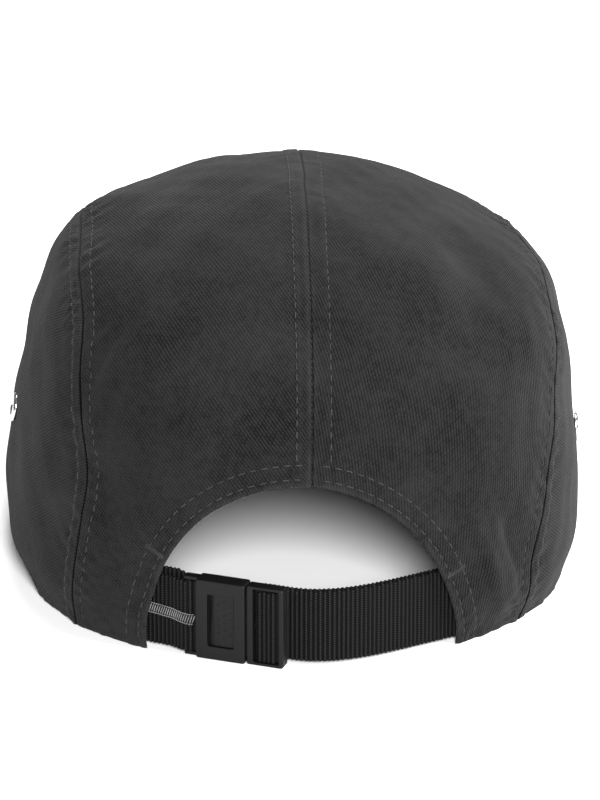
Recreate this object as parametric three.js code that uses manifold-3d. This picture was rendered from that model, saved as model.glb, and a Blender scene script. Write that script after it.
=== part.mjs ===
// A jockey cap as it is sewn: a front panel, two crown panels that meet on a seam over the top,
// two side panels with an eyelet each, a stiff peak, and a webbing strap that closes the arch at
// the back with a press buckle.
// Millimetres, +Z up. The peak points along +Y, the arch and its strap are at -Y, and the cap
// stands on its rim and on the two sides of its peak, with the origin under its middle.

import * as THREE from "three";
import { mergeVertices } from "three/addons/utils/BufferGeometryUtils.js";
import Module from "manifold-3d";

const wasm = await Module();
wasm.setup();

// Crown
const CROWN_WIDTH = 187;
const CROWN_DEPTH = 197;
const CROWN_HEIGHT = 124;
const FRONT_LIFT = 15; // the rim's height over the ground at the front
const SWAY = 2.2; // the top of the soft crown leans this far to the right
const SHOULDER_DROP = 3.2; // and the right shoulder sits this much lower
const DENT_DEPTH = 2;
const CLOTH = 1.6;
const SEAM_GAP = 0.3;
const SEAM_OFFSET = 2.3; // the centre seam lies this far right of the middle

// Arch at the back
const ARCH_WIDTH = 95;
const ARCH_HEIGHT = 57.5;
const ARCH_FULLNESS = 2.3; // 2 is an ellipse, more is squarer

// Peak
const PEAK_LENGTH = 68;
const PEAK_THICKNESS = 2.6;
const PEAK_SPREAD = 60; // degrees from straight ahead to a corner of the peak
const PEAK_TUCK = 5; // how far the peak runs under the rim
const PEAK_RISE = 8; // clear height under the middle of its front edge
const PEAK_TOUCH = 58; // degrees round its edge to where it touches the ground
const PEAK_FULLNESS = 2.5;
const PEAK_BLUNT = 0.35; // how much of its last step each pointed tip is cut back

// Eyelets
const EYELET_BORE = 4.4;
const EYELET_WALL = 0.6;
const EYELET_FLANGE = 9.4;
const EYELET_THICKNESS = 0.9;
const EYELET_CLEARANCE = 0.45;
const EYELET_LIP = 0.35; // straight share of the flange's edge
const EYELET_ROLL = 0.3; // share of the flange that is rounded off on each side of its crest
const EYELET_SIDES = 16;

// Webbing
const WEB_WIDTH = 24;
const WEB_THICKNESS = 1.3;
const WEB_CLEARANCE = 0.35;
const STRAP_TUCK = 13; // how far each strap end runs in behind the cloth
const STRAP_SHOW = 3; // and how far in from the arch's foot the webbing is free to bend
const SHORT_STRAP = 12.4; // from the left foot of the arch to the socket's bar
const TAIL_LENGTH = 30; // the strap's free end, folded back behind it

// Buckle, with u along the strap, w up and n out from the head
const BUCKLE_STAND = 3.5; // its mouth stands this far out from the rim's line
const BUCKLE_SWING = 16; // degrees it is turned, so that the slide stands furthest out
const BUCKLE_EDGE = 1; // height of the bars above and below the webbing
const SOCKET_LENGTH = 16.3;
const SOCKET_THICKNESS = 6;
const SOCKET_WALL = 1.3;
const LOOP_BAR = 2.2;
const WINDOW_LENGTH = 8.9;
const WINDOW_HEIGHT = 17.8;
const WINDOW_MARGIN = 3.5; // from the socket's mouth to its window
const BUTTON_STEP = 0.6; // how far the button lies below the socket's face
const BUTTON_RAMP = 2.4;
const MOULD_GAP = 0.3; // between the two halves of the buckle
const SLIDE_LENGTH = 12.2;
const SLIDE_FRONT = 2.3;
const SLIDE_BACK = 1.9;
const SLIDE_BAR_INNER = 2.2;
const SLIDE_BAR_OUTER = 1.6;
const MIDDLE_BAR_THICKNESS = 1.8;
const CORNER = 0.8;
const FACE_ROUND = 0.4; // rounding round the faces of both halves

// The crown's plan from its rim (ring 1) to its middle on top (ring 0). Reaches are shares of half
// the width or depth, and square is the exponent of the plan's outline, 2 for an ellipse.
const PLAN_ROWS = [
  { ring: 1, left: 0.965, right: 0.965, front: 0.98, back: 0.985, square: 2.35 },
  { ring: 0.9, left: 1, right: 1, front: 1, back: 1.005, square: 2.35 },
  { ring: 0.78, left: 0.984, right: 0.99, front: 1, back: 0.99, square: 2.35 },
  { ring: 0.64, left: 0.94, right: 0.957, front: 0.985, back: 0.95, square: 2.35 },
  { ring: 0.52, left: 0.887, right: 0.91, front: 0.945, back: 0.868, square: 2.35 },
  { ring: 0.42, left: 0.785, right: 0.797, front: 0.85, back: 0.741, square: 2.3 },
  { ring: 0.3, left: 0.565, right: 0.567, front: 0.64, back: 0.538, square: 2.2 },
  { ring: 0.15, left: 0.289, right: 0.289, front: 0.335, back: 0.274, square: 2.05 },
  { ring: 0, left: 0, right: 0, front: 0, back: 0, square: 2 },
];

// Its heights on the same rings, as shares of the height over the rim
const HEIGHT_ROWS = [
  { ring: 1, side: 0, front: 0, back: 0 },
  { ring: 0.9, side: 0.105, front: 0.07, back: 0.12 },
  { ring: 0.78, side: 0.29, front: 0.25, back: 0.3 },
  { ring: 0.64, side: 0.508, front: 0.47, back: 0.5 },
  { ring: 0.52, side: 0.694, front: 0.66, back: 0.66 },
  { ring: 0.42, side: 0.815, front: 0.78, back: 0.782 },
  { ring: 0.3, side: 0.895, front: 0.904, back: 0.895 },
  { ring: 0.15, side: 0.964, front: 0.982, back: 0.976 },
  { ring: 0, side: 1, front: 1, back: 1 },
];

// Soft dents of the worn cloth, or swells where depth, a share of DENT_DEPTH, is negative. Each
// reaches spread degrees round the crown and rise rings up it, and leans by degrees for each ring.
const DENTS = [
  { angle: -141, ring: 0.47, spread: 6, rise: 0.09, lean: 0, depth: 0.8 },
  { angle: -130, ring: 0.69, spread: 5, rise: 0.1, lean: 15, depth: 0.8 },
  { angle: -141, ring: 0.79, spread: 6, rise: 0.05, lean: 0, depth: 0.6 },
  { angle: -40, ring: 0.39, spread: 11, rise: 0.1, lean: -200, depth: 1 },
  { angle: -55, ring: 0.27, spread: 18, rise: 0.06, lean: 0, depth: -0.4 },
  { angle: -66, ring: 0.54, spread: 12, rise: 0.09, lean: 0, depth: -0.5 },
  { angle: -54, ring: 0.84, spread: 3.5, rise: 0.09, lean: 50, depth: -0.7 },
  { angle: -47, ring: 0.82, spread: 3.5, rise: 0.08, lean: 50, depth: 0.6 },
];

// The side seams from the top corner of the front panel, along the shoulder and down to the rim.
// turn is degrees from straight sideways towards the back, on each side of the cap.
const SEAM_ROWS = {
  left: [
    { turn: -44, ring: 0.47 }, { turn: -28, ring: 0.41 }, { turn: -8, ring: 0.385 },
    { turn: 14, ring: 0.4 }, { turn: 32, ring: 0.46 }, { turn: 40, ring: 0.57 },
    { turn: 46, ring: 0.7 }, { turn: 45, ring: 0.84 }, { turn: 44, ring: 1 },
  ],
  right: [
    { turn: -44, ring: 0.47 }, { turn: -28, ring: 0.42 }, { turn: -12, ring: 0.43 },
    { turn: 4, ring: 0.455 }, { turn: 20, ring: 0.51 }, { turn: 31, ring: 0.63 },
    { turn: 37, ring: 0.74 }, { turn: 43, ring: 0.87 }, { turn: 45, ring: 1 },
  ],
};
const SEAM_BEND = 4; // the row where a seam turns from the shoulder down the back
const FRONT_SEAM_TURN = -47; // foot of the seams beside the front panel
const FRONT_SEAM_RING = 0.45; // its top seam at the middle

// The eyelets' turn towards the back, and their height as a share of the crown's
const EYELET_ROWS = [
  { side: "left", turn: 8, up: 0.427 },
  { side: "right", turn: 9, up: 0.355 },
];

// Steps of the meshes along the seams, the peak, the webbing and its bends
const LEG_STEPS = 8;
const ARCH_STEPS = 10;
const CENTRE_STEPS = 16;
const SHOULDER_STEPS = 13;
const BACK_SEAM_STEPS = 13;
const PEAK_STEPS = 28;
const PEAK_ROWS = 5;
const WEB_STEPS = 13;
const TUCK_STEPS = 5;
const BEND_STEPS = 3;
const LOOP_STEPS = 8;
const BAR_SIDES = 10;

const degrees = THREE.MathUtils.degToRad;
const mix = THREE.MathUtils.lerp;

const cloth = () => finish("#3a3a3c", 0.95, 0);
const webbing = () => finish("#1f1e1f", 0.85, 0);
const plastic = () => finish("#2b2b2c", 0.55, 0);
const nickel = () => finish("#c9c9c6", 0.3, 1);

function finish(color, roughness, metalness) {
  return new THREE.MeshStandardMaterial({ color, roughness, metalness });
}

// Smooth curve through a column of rows that run down to ring 0. Beyond the top the rows
// repeat mirrored, so reaches change sign there (odd) and heights do not.
function follow(rows, column, ring, odd) {
  const last = rows.length - 1;
  let index = 0;
  while (index < last - 1 && ring < rows[index + 1].ring) index += 1;
  const value = (k) => {
    if (k < 0) return 2 * rows[0][column] - rows[1][column];
    if (k > last) return (odd ? -1 : 1) * rows[2 * last - k][column];
    return rows[k][column];
  };
  const place = (k) => {
    if (k < 0) return 2 * rows[0].ring - rows[1].ring;
    if (k > last) return -rows[2 * last - k].ring;
    return rows[k].ring;
  };
  const slope = (k) => (value(k + 1) - value(k - 1)) / (place(k + 1) - place(k - 1));
  const span = place(index + 1) - place(index);
  const t = (ring - place(index)) / span;
  const t2 = t * t;
  const t3 = t2 * t;
  const start = (2 * t3 - 3 * t2 + 1) * value(index) + (t3 - 2 * t2 + t) * span * slope(index);
  const end = (3 * t2 - 2 * t3) * value(index + 1) + (t3 - t2) * span * slope(index + 1);
  return start + end;
}

// A point of the crown's outer face over the unit disc: p runs to the right, q to the front.
function crownPoint(p, q) {
  const length = Math.max(Math.hypot(p, q), 1e-6);
  const ring = Math.min(length, 1);
  const across = p / length;
  const along = q / length;
  const ahead = along > 0;
  const side = (CROWN_WIDTH / 2) * follow(PLAN_ROWS, across > 0 ? "right" : "left", ring, true);
  const deep = (CROWN_DEPTH / 2) * follow(PLAN_ROWS, ahead ? "front" : "back", ring, true);
  const square = follow(PLAN_ROWS, "square", ring, false);
  const sum = (Math.abs(across) / side) ** square + (Math.abs(along) / deep) ** square;
  const reach = 1 / sum ** (1 / square);
  const sideUp = CROWN_HEIGHT * follow(HEIGHT_ROWS, "side", ring, false);
  const backUp = CROWN_HEIGHT * follow(HEIGHT_ROWS, "back", ring, false);
  const frontUp = mix(FRONT_LIFT, CROWN_HEIGHT, follow(HEIGHT_ROWS, "front", ring, false));
  const level = across ** 2 * sideUp + along ** 2 * (ahead ? frontUp : backUp);
  const share = level / CROWN_HEIGHT;
  const drop = SHOULDER_DROP * ((reach * across) / (CROWN_WIDTH / 2)) * share ** 2;
  const point = new THREE.Vector3(reach * across + SWAY * share, reach * along, level - drop);
  const out = point.clone().sub(new THREE.Vector3(0, 0, CROWN_HEIGHT / 3)).normalize();
  return point.addScaledVector(out, -dentDepth(THREE.MathUtils.radToDeg(Math.atan2(q, p)), ring));
}

function dentDepth(angle, ring) {
  return DENTS.reduce((depth, dent) => {
    const aside = (angle - dent.angle - dent.lean * (ring - dent.ring)) / dent.spread;
    const above = (ring - dent.ring) / dent.rise;
    return depth + DENT_DEPTH * dent.depth * Math.exp(-(aside ** 2) - above ** 2);
  }, 0);
}

function crownNormal(p, q) {
  const step = 0.004;
  const alongP = crownPoint(p + step, q).sub(crownPoint(p - step, q));
  const alongQ = crownPoint(p, q + step).sub(crownPoint(p, q - step));
  return alongP.cross(alongQ).normalize();
}

// A place on the disc, from degrees counted from +X and a ring.
function polar(angle, ring) {
  return new THREE.Vector2(ring * Math.cos(degrees(angle)), ring * Math.sin(degrees(angle)));
}

function sideAngle(side, turn) {
  return side === "left" ? 180 + turn : -turn;
}

// The ring at which the crown reaches a height, in the direction of an angle.
function ringAtHeight(angle, height) {
  let low = 0;
  let high = 1;
  for (let step = 0; step < 40; step += 1) {
    const middle = (low + high) / 2;
    const place = polar(angle, middle);
    if (crownPoint(place.x, place.y).z > height) low = middle;
    else high = middle;
  }
  return (low + high) / 2;
}

// Side seam as places on the disc, from the front corner to the rim, with a share of its steps
// on the shoulder and the rest down the back.
function sideSeam(side) {
  const rows = SEAM_ROWS[side];
  const curve = new THREE.CatmullRomCurve3(
    rows.map((row) => new THREE.Vector3(row.turn, row.ring, 0)), false, "catmullrom", 0.5,
  );
  const bend = SEAM_BEND / (rows.length - 1);
  const place = (t) => {
    const point = curve.getPoint(t);
    return polar(sideAngle(side, point.x), point.y);
  };
  const shoulder = spread(SHOULDER_STEPS, (s) => place(bend * s));
  const back = spread(BACK_SEAM_STEPS, (s) => place(bend + (1 - bend) * s));
  return { shoulder, back };
}

// Samples of a path, one more than its steps.
function spread(steps, at) {
  return Array.from({ length: steps + 1 }, (_, k) => at(k / steps));
}

function rim(fromAngle, toAngle, steps) {
  return spread(steps, (s) => polar(mix(fromAngle, toAngle, s), 1));
}

// The arch's half angle on the rim and its rise over the disc
const BACK_RIM = (CROWN_DEPTH / 2) * PLAN_ROWS[0].back;
const ARCH_HALF = THREE.MathUtils.radToDeg(Math.asin(ARCH_WIDTH / 2 / BACK_RIM));
const ARCH_RISE = 1 - ringAtHeight(-90, ARCH_HEIGHT);

// A place on the arch's edge; lap runs from 0 at the left foot to 180 at the right one.
function archPlace(lap) {
  const across = Math.cos(degrees(lap));
  const turn = -ARCH_HALF * Math.sign(across) * Math.abs(across) ** (2 / ARCH_FULLNESS);
  const up = Math.sin(degrees(lap)) ** (2 / ARCH_FULLNESS);
  return polar(-90 + turn, 1 - ARCH_RISE * up);
}

// Where the centre seam meets the arch
const SEAM_TURN = THREE.MathUtils.radToDeg(SEAM_OFFSET / crownPoint(0, ARCH_RISE - 1).length());
const SEAM_LAP = 90 + THREE.MathUtils.radToDeg(
  Math.asin((SEAM_TURN / ARCH_HALF) ** (ARCH_FULLNESS / 2)),
);

function archHalf(side) {
  const foot = side === "left" ? 0 : 180;
  return spread(ARCH_STEPS, (s) => archPlace(mix(foot, SEAM_LAP, s)));
}

// The centre seam from the arch up over the top to the front panel, SEAM_OFFSET off the middle.
function centreSeam() {
  const foot = archPlace(SEAM_LAP);
  const perRing = crownPoint(0, 0.1).y / 0.1;
  return spread(CENTRE_STEPS, (s) => {
    const q = mix(foot.y, FRONT_SEAM_RING, s);
    return new THREE.Vector2(mix(foot.x, SEAM_OFFSET / perRing, Math.min(3 * s, 1)), q);
  });
}

// Half of the front panel's top seam, from its corner to the centre seam.
function frontSeamHalf(side, steps) {
  const corner = SEAM_ROWS[side][0];
  const from = sideAngle(side, corner.turn);
  const end = centreSeam().at(-1);
  const endAngle = THREE.MathUtils.radToDeg(Math.atan2(end.y, end.x));
  const fromAngle = from < 0 ? from + 360 : from;
  return spread(steps, (s) => {
    if (s === 1) return end;
    return polar(mix(fromAngle, endAngle, s), mix(corner.ring, end.length(), 1 - (1 - s) ** 2));
  });
}

// The short seam between a side panel and the front panel, from the rim up to the corner.
function frontSideSeam(side, steps) {
  const corner = SEAM_ROWS[side][0];
  return spread(steps, (s) => polar(
    sideAngle(side, mix(FRONT_SEAM_TURN, corner.turn, s)), mix(1, corner.ring, s),
  ));
}

// A grid of disc places between four edges that share their corners. low and high run the same
// way, and so do first and last, which join their ends.
function fill(low, high, first, last) {
  const columns = low.length - 1;
  const rows = first.length - 1;
  return first.map((_, j) => low.map((__, i) => {
    const s = i / columns;
    const t = j / rows;
    const edges = low[i].clone().multiplyScalar(1 - t).addScaledVector(high[i], t)
      .addScaledVector(first[j], 1 - s).addScaledVector(last[j], s);
    return edges.addScaledVector(low[0], -(1 - s) * (1 - t)).addScaledVector(low[columns], -s * (1 - t))
      .addScaledVector(high[0], -(1 - s) * t).addScaledVector(high[columns], -s * t);
  }));
}

// Direction from an edge point into the cloth, square to the edge and in the surface.
function inward(points, normals, j, i, alongRows) {
  const clamp = THREE.MathUtils.clamp;
  const at = (y, x) => points[clamp(y, 0, points.length - 1)][clamp(x, 0, points[0].length - 1)];
  const after = alongRows ? at(j + 1, i) : at(j, i + 1);
  const before = alongRows ? at(j - 1, i) : at(j, i - 1);
  const inner = alongRows ? at(j, i === 0 ? 1 : i - 1) : at(j === 0 ? 1 : j - 1, i);
  const square = after.clone().sub(before).cross(normals[j][i]).normalize();
  return square.multiplyScalar(Math.sign(square.dot(inner.clone().sub(points[j][i]))) || 1);
}

// A wall of cloth over a grid of disc places. seams says which of its edges meet another panel,
// and those edges stand back by half the gap.
function clothWall(grid, seams) {
  const points = grid.map((row) => row.map((place) => crownPoint(place.x, place.y)));
  const normals = grid.map((row) => row.map((place) => crownNormal(place.x, place.y)));
  const rows = grid.length - 1;
  const columns = grid[0].length - 1;
  const outer = points.map((row, j) => row.map((point, i) => {
    const moved = point.clone();
    const side = (i === 0 && seams.first) || (i === columns && seams.last);
    const end = (j === 0 && seams.low) || (j === rows && seams.high);
    if (side) moved.addScaledVector(inward(points, normals, j, i, true), SEAM_GAP / 2);
    if (end) moved.addScaledVector(inward(points, normals, j, i, false), SEAM_GAP / 2);
    return moved;
  }));
  const inner = outer.map((row, j) => row.map(
    (point, i) => point.clone().addScaledVector(normals[j][i], -CLOTH),
  ));
  return sheet(outer, inner);
}

// A closed solid between two grids of points, one on each face.
function sheet(outer, inner) {
  const rows = outer.length - 1;
  const columns = outer[0].length - 1;
  const width = columns + 1;
  const layer = (rows + 1) * width;
  const positions = [...outer.flat(), ...inner.flat()].flatMap((point) => point.toArray());
  const index = [];
  const quad = (a, b, c, d) => index.push(a, b, c, a, c, d);
  const at = (j, i) => j * width + i;
  for (let j = 0; j < rows; j += 1) {
    for (let i = 0; i < columns; i += 1) {
      const corners = [at(j, i), at(j, i + 1), at(j + 1, i + 1), at(j + 1, i)];
      quad(...corners);
      const [a, b, c, d] = corners.map((corner) => corner + layer);
      index.push(a, c, b, a, d, c);
    }
  }
  const border = [];
  for (let i = 0; i < columns; i += 1) border.push(at(0, i));
  for (let j = 0; j < rows; j += 1) border.push(at(j, columns));
  for (let i = columns; i > 0; i -= 1) border.push(at(rows, i));
  for (let j = rows; j > 0; j -= 1) border.push(at(j, 0));
  border.forEach((a, k) => {
    const b = border[(k + 1) % border.length];
    quad(a, a + layer, b + layer, b);
  });
  const geometry = new THREE.BufferGeometry();
  geometry.setAttribute("position", new THREE.Float32BufferAttribute(positions, 3));
  geometry.setIndex(index);
  return outward(geometry);
}

// The same surface with its vertices merged and its faces pointing out.
function outward(source) {
  source.deleteAttribute("normal");
  source.deleteAttribute("uv");
  const geometry = mergeVertices(source, 1e-4);
  const position = geometry.getAttribute("position");
  const index = geometry.getIndex();
  const [a, b, c] = [new THREE.Vector3(), new THREE.Vector3(), new THREE.Vector3()];
  let volume = 0;
  for (let k = 0; k < index.count; k += 3) {
    a.fromBufferAttribute(position, index.getX(k));
    b.fromBufferAttribute(position, index.getX(k + 1));
    c.fromBufferAttribute(position, index.getX(k + 2));
    volume += a.dot(b.cross(c));
  }
  if (volume < 0) index.array.reverse();
  geometry.computeVertexNormals();
  return geometry;
}

function toSolid(geometry) {
  const clean = outward(geometry.clone());
  const vertProperties = new Float32Array(clean.getAttribute("position").array);
  const triVerts = new Uint32Array(clean.getIndex().array);
  return new wasm.Manifold(new wasm.Mesh({ numProp: 3, vertProperties, triVerts }));
}

function fromSolid(solid) {
  const mesh = solid.getMesh();
  const geometry = new THREE.BufferGeometry();
  geometry.setAttribute("position", new THREE.BufferAttribute(mesh.vertProperties, 3));
  geometry.setIndex(new THREE.BufferAttribute(mesh.triVerts, 1));
  geometry.computeVertexNormals();
  return geometry;
}

function cut(body, ...tools) {
  return fromSolid(tools.reduce((solid, tool) => solid.subtract(toSolid(tool)), toSolid(body)));
}

function join(body, ...others) {
  return fromSolid(others.reduce((solid, other) => solid.add(toSolid(other)), toSolid(body)));
}

function named(name, geometry, material) {
  const mesh = new THREE.Mesh(geometry, material);
  mesh.name = name;
  return mesh;
}

// Crown, side and front panels

function crownPanel(side) {
  const seam = sideSeam(side);
  const outerEdge = [...seam.shoulder, ...seam.back.slice(1)].reverse();
  const innerEdge = [...archHalf(side), ...centreSeam().slice(1)];
  const legFoot = sideAngle(side, SEAM_ROWS[side].at(-1).turn);
  const archFoot = side === "left" ? 270 - ARCH_HALF : ARCH_HALF - 90;
  const leg = rim(legFoot, archFoot, LEG_STEPS);
  const front = frontSeamHalf(side, LEG_STEPS);
  const grid = fill(leg, front, outerEdge, innerEdge);
  const geometry = clothWall(grid, { first: true, last: true, high: true });
  return named(`crown_panel_${side}`, geometry, cloth());
}

function sidePanel(side) {
  const seam = sideSeam(side);
  const shoulder = [...seam.shoulder].reverse();
  const backFoot = sideAngle(side, SEAM_ROWS[side].at(-1).turn);
  const frontFoot = sideAngle(side, FRONT_SEAM_TURN);
  const foot = rim(backFoot, frontFoot, SHOULDER_STEPS);
  const back = [...seam.back].reverse();
  const front = frontSideSeam(side, BACK_SEAM_STEPS);
  const wall = clothWall(fill(foot, shoulder, back, front), { first: true, last: true, high: true });
  return named(`side_panel_${side}`, cut(wall, eyeletHole(side)), cloth());
}

function frontPanel() {
  const [from, to] = ["left", "right"].map((side) => sideAngle(side, FRONT_SEAM_TURN));
  const foot = rim(from, to, 2 * LEG_STEPS);
  const left = frontSeamHalf("left", LEG_STEPS);
  const right = frontSeamHalf("right", LEG_STEPS).reverse();
  const top = [...left, ...right.slice(1)];
  const first = frontSideSeam("left", BACK_SEAM_STEPS);
  const last = frontSideSeam("right", BACK_SEAM_STEPS);
  const wall = clothWall(fill(foot, top, first, last), { first: true, last: true, high: true });
  return named("front_panel", wall, cloth());
}

// Eyelets

function eyeletPose(side) {
  const row = EYELET_ROWS.find((entry) => entry.side === side);
  const angle = sideAngle(side, row.turn);
  const place = polar(angle, ringAtHeight(angle, row.up * CROWN_HEIGHT));
  const centre = crownPoint(place.x, place.y);
  const normal = crownNormal(place.x, place.y);
  const turn = new THREE.Quaternion().setFromUnitVectors(new THREE.Vector3(0, 1, 0), normal);
  return { centre, turn };
}

function eyeletHole(side) {
  const pose = eyeletPose(side);
  const radius = EYELET_BORE / 2 + EYELET_WALL + EYELET_CLEARANCE;
  const through = 4 * (CLOTH + EYELET_THICKNESS);
  const hole = new THREE.CylinderGeometry(radius, radius, through, EYELET_SIDES);
  return hole.applyQuaternion(pose.turn).translate(...pose.centre.toArray());
}

// A rolled ring: a flange on each face of the cloth and a barrel through it.
function eyelet(side) {
  const pose = eyeletPose(side);
  const bore = EYELET_BORE / 2;
  const barrel = bore + EYELET_WALL;
  const edge = EYELET_FLANGE / 2;
  const face = EYELET_CLEARANCE;
  const back = -CLOTH - EYELET_CLEARANCE;
  const crest = face + EYELET_THICKNESS;
  const washer = [[bore, back - EYELET_THICKNESS], [edge, back - EYELET_THICKNESS / 2], [edge, back]];
  const wall = [[barrel, back], [barrel, face]];
  const roll = [[edge, face], [edge, mix(face, crest, EYELET_LIP)]];
  const top = [[mix(edge, bore, EYELET_ROLL), crest], [mix(bore, edge, EYELET_ROLL), crest]];
  const profile = [...washer, ...wall, ...roll, ...top, [bore, face], washer[0]];
  const points = profile.map(([radius, height]) => new THREE.Vector2(radius, height));
  const ring = outward(new THREE.LatheGeometry(points, EYELET_SIDES));
  const mesh = named(`eyelet_${side}`, ring, nickel());
  mesh.quaternion.copy(pose.turn);
  mesh.position.copy(pose.centre);
  return mesh;
}

// Peak: a curved board between the rim, which it runs under, and its front edge.
function peak() {
  const rimAt = (turn) => crownPoint(...polar(90 - turn, 1).toArray());
  const inset = (turn) => {
    const point = rimAt(turn);
    const flat = Math.hypot(point.x, point.y);
    const share = (flat - PEAK_TUCK) / flat;
    return new THREE.Vector3(point.x * share, point.y * share, point.z - SEAM_GAP);
  };
  const [left, right] = [inset(-PEAK_SPREAD), inset(PEAK_SPREAD)];
  const middle = left.clone().add(right).multiplyScalar(0.5);
  const half = right.clone().sub(left).multiplyScalar(0.5);
  const reach = rimAt(0).y + PEAK_LENGTH - middle.y;
  const edge = (lap) => {
    const across = Math.sin(degrees(lap));
    const swing = Math.sign(across) * Math.abs(across) ** (2 / PEAK_FULLNESS);
    const ahead = Math.abs(Math.cos(degrees(lap))) ** (2 / PEAK_FULLNESS);
    const point = middle.clone().addScaledVector(half, swing);
    const corner = (Math.sign(lap) < 0 ? left : right).z;
    point.y += reach * ahead;
    point.z = peakEdgeHeight(Math.abs(lap), corner - PEAK_THICKNESS) + PEAK_THICKNESS;
    return point;
  };
  const top = spread(PEAK_ROWS, (t) => spread(PEAK_STEPS, (s) => {
    const share = 2 * s - 1;
    const from = inset(PEAK_SPREAD * share);
    return from.lerp(edge(90 * share), t);
  }));
  const under = top.map((row) => row.map(
    (point) => point.clone().add(new THREE.Vector3(0, 0, -PEAK_THICKNESS)),
  ));
  return named("peak", sheet(closeTips(top), closeTips(under)), cloth());
}

// Clear height under the peak's edge, from its middle (lap 0) to its corner (lap 90).
function peakEdgeHeight(lap, corner) {
  if (lap < PEAK_TOUCH) return PEAK_RISE * Math.cos(degrees((90 * lap) / PEAK_TOUCH)) ** 2;
  const share = (lap - PEAK_TOUCH) / (90 - PEAK_TOUCH);
  return corner * share ** 2;
}

// The rows of the peak meet in a point at each tip, so the first and last columns are spread a
// little to leave a short blunt end of cloth.
function closeTips(rows) {
  return rows.map((row) => row.map((point, i) => {
    if (i > 0 && i < row.length - 1) return point;
    const next = i === 0 ? row[1] : row[row.length - 2];
    return point.clone().lerp(next, PEAK_BLUNT);
  }));
}

// Plan lines of the webbing

// The rim's line in plan, moved in by a distance, at degrees from the middle of the arch.
function rimLine(turn, inset) {
  const at = (angle) => {
    const point = crownPoint(...polar(angle, 1).toArray());
    return new THREE.Vector2(point.x, point.y);
  };
  const point = at(-90 + turn);
  const tangent = at(-90 + turn + 1).sub(at(-90 + turn - 1)).normalize();
  return point.add(new THREE.Vector2(-tangent.y, tangent.x).multiplyScalar(inset));
}

// Round the rim, a length in millimetres is this many degrees.
const TURN_PER_LENGTH = THREE.MathUtils.radToDeg(1 / BACK_RIM);
const LEG_TURN = ARCH_HALF - TURN_PER_LENGTH * STRAP_SHOW;
const TUCK_TURN = TURN_PER_LENGTH * STRAP_TUCK;

const SLOT = WEB_THICKNESS + 2 * WEB_CLEARANCE;
const BAR_PLACE = -SOCKET_LENGTH - SLOT - LOOP_BAR / 2;
const SINGLE_INSET = CLOTH + SEAM_GAP + WEB_THICKNESS / 2;
const LAYER_HALF = (WEB_THICKNESS + WEB_CLEARANCE) / 2;
const DOUBLE_INSET = SINGLE_INSET + LAYER_HALF;
const BUCKLE_TURN = -TURN_PER_LENGTH * (ARCH_WIDTH / 2 - SHORT_STRAP + BAR_PLACE);

// The buckle's place in plan: its middle, the way along the strap and the way out.
const BUCKLE_ALONG = rimWay(BUCKLE_TURN, 0).rotateAround(new THREE.Vector2(), degrees(-BUCKLE_SWING));
const BUCKLE_OUT = new THREE.Vector2(BUCKLE_ALONG.y, -BUCKLE_ALONG.x);
const BUCKLE_ORIGIN = rimLine(BUCKLE_TURN, SINGLE_INSET).addScaledVector(BUCKLE_OUT, BUCKLE_STAND);

// The way along the strap where it leaves the rim's line.
function rimWay(turn, inset) {
  return rimLine(turn + 1, inset).sub(rimLine(turn - 1, inset)).normalize();
}

function buckleToPlan(u, n) {
  return BUCKLE_ORIGIN.clone().addScaledVector(BUCKLE_ALONG, u).addScaledVector(BUCKLE_OUT, n);
}

// A smooth line in plan that leaves one point and meets another in given directions.
function blend(from, fromWay, to, toWay, steps) {
  const reach = from.distanceTo(to) / 3;
  const curve = new THREE.CubicBezierCurve(
    from, from.clone().addScaledVector(fromWay, reach), to.clone().addScaledVector(toWay, -reach), to,
  );
  return curve.getPoints(steps);
}

function shifted(line, distance) {
  return line.map((point, k) => {
    const next = line[Math.min(k + 1, line.length - 1)];
    const previous = line[Math.max(k - 1, 0)];
    const way = next.clone().sub(previous).normalize();
    return point.clone().add(new THREE.Vector2(way.y, -way.x).multiplyScalar(distance));
  });
}

// A quarter turn in the buckle's plane, from one angle to another about (u, n).
function bend(u, n, radius, fromAngle, toAngle) {
  return spread(BEND_STEPS, (s) => {
    const angle = degrees(mix(fromAngle, toAngle, s));
    return buckleToPlan(u + radius * Math.cos(angle), n + radius * Math.sin(angle));
  });
}

// Webbing on edge: a line in plan with a thickness, as high as the webbing is wide.
function band(line) {
  const outline = [
    ...shifted(line, WEB_THICKNESS / 2), ...shifted(line, -WEB_THICKNESS / 2).reverse(),
  ];
  const options = { depth: WEB_WIDTH, bevelEnabled: false };
  const geometry = new THREE.ExtrudeGeometry(new THREE.Shape(outline), options);
  return outward(geometry.translate(0, 0, BUCKLE_EDGE + WEB_CLEARANCE));
}

const SLIDE_START = MOULD_GAP;
const SLIDE_END = SLIDE_START + SLIDE_LENGTH;
const INNER_SLOT = SLIDE_START + SLIDE_BAR_INNER;
const OUTER_SLOT = SLIDE_END - SLIDE_BAR_OUTER - SLOT;
const OVER_BAR = (MIDDLE_BAR_THICKNESS + WEB_THICKNESS) / 2 + WEB_CLEARANCE;
const BEHIND_SLIDE = -SLIDE_BACK - WEB_CLEARANCE - WEB_THICKNESS / 2;
const BEHIND_STRAP = BEHIND_SLIDE - WEB_THICKNESS - WEB_CLEARANCE;

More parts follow.
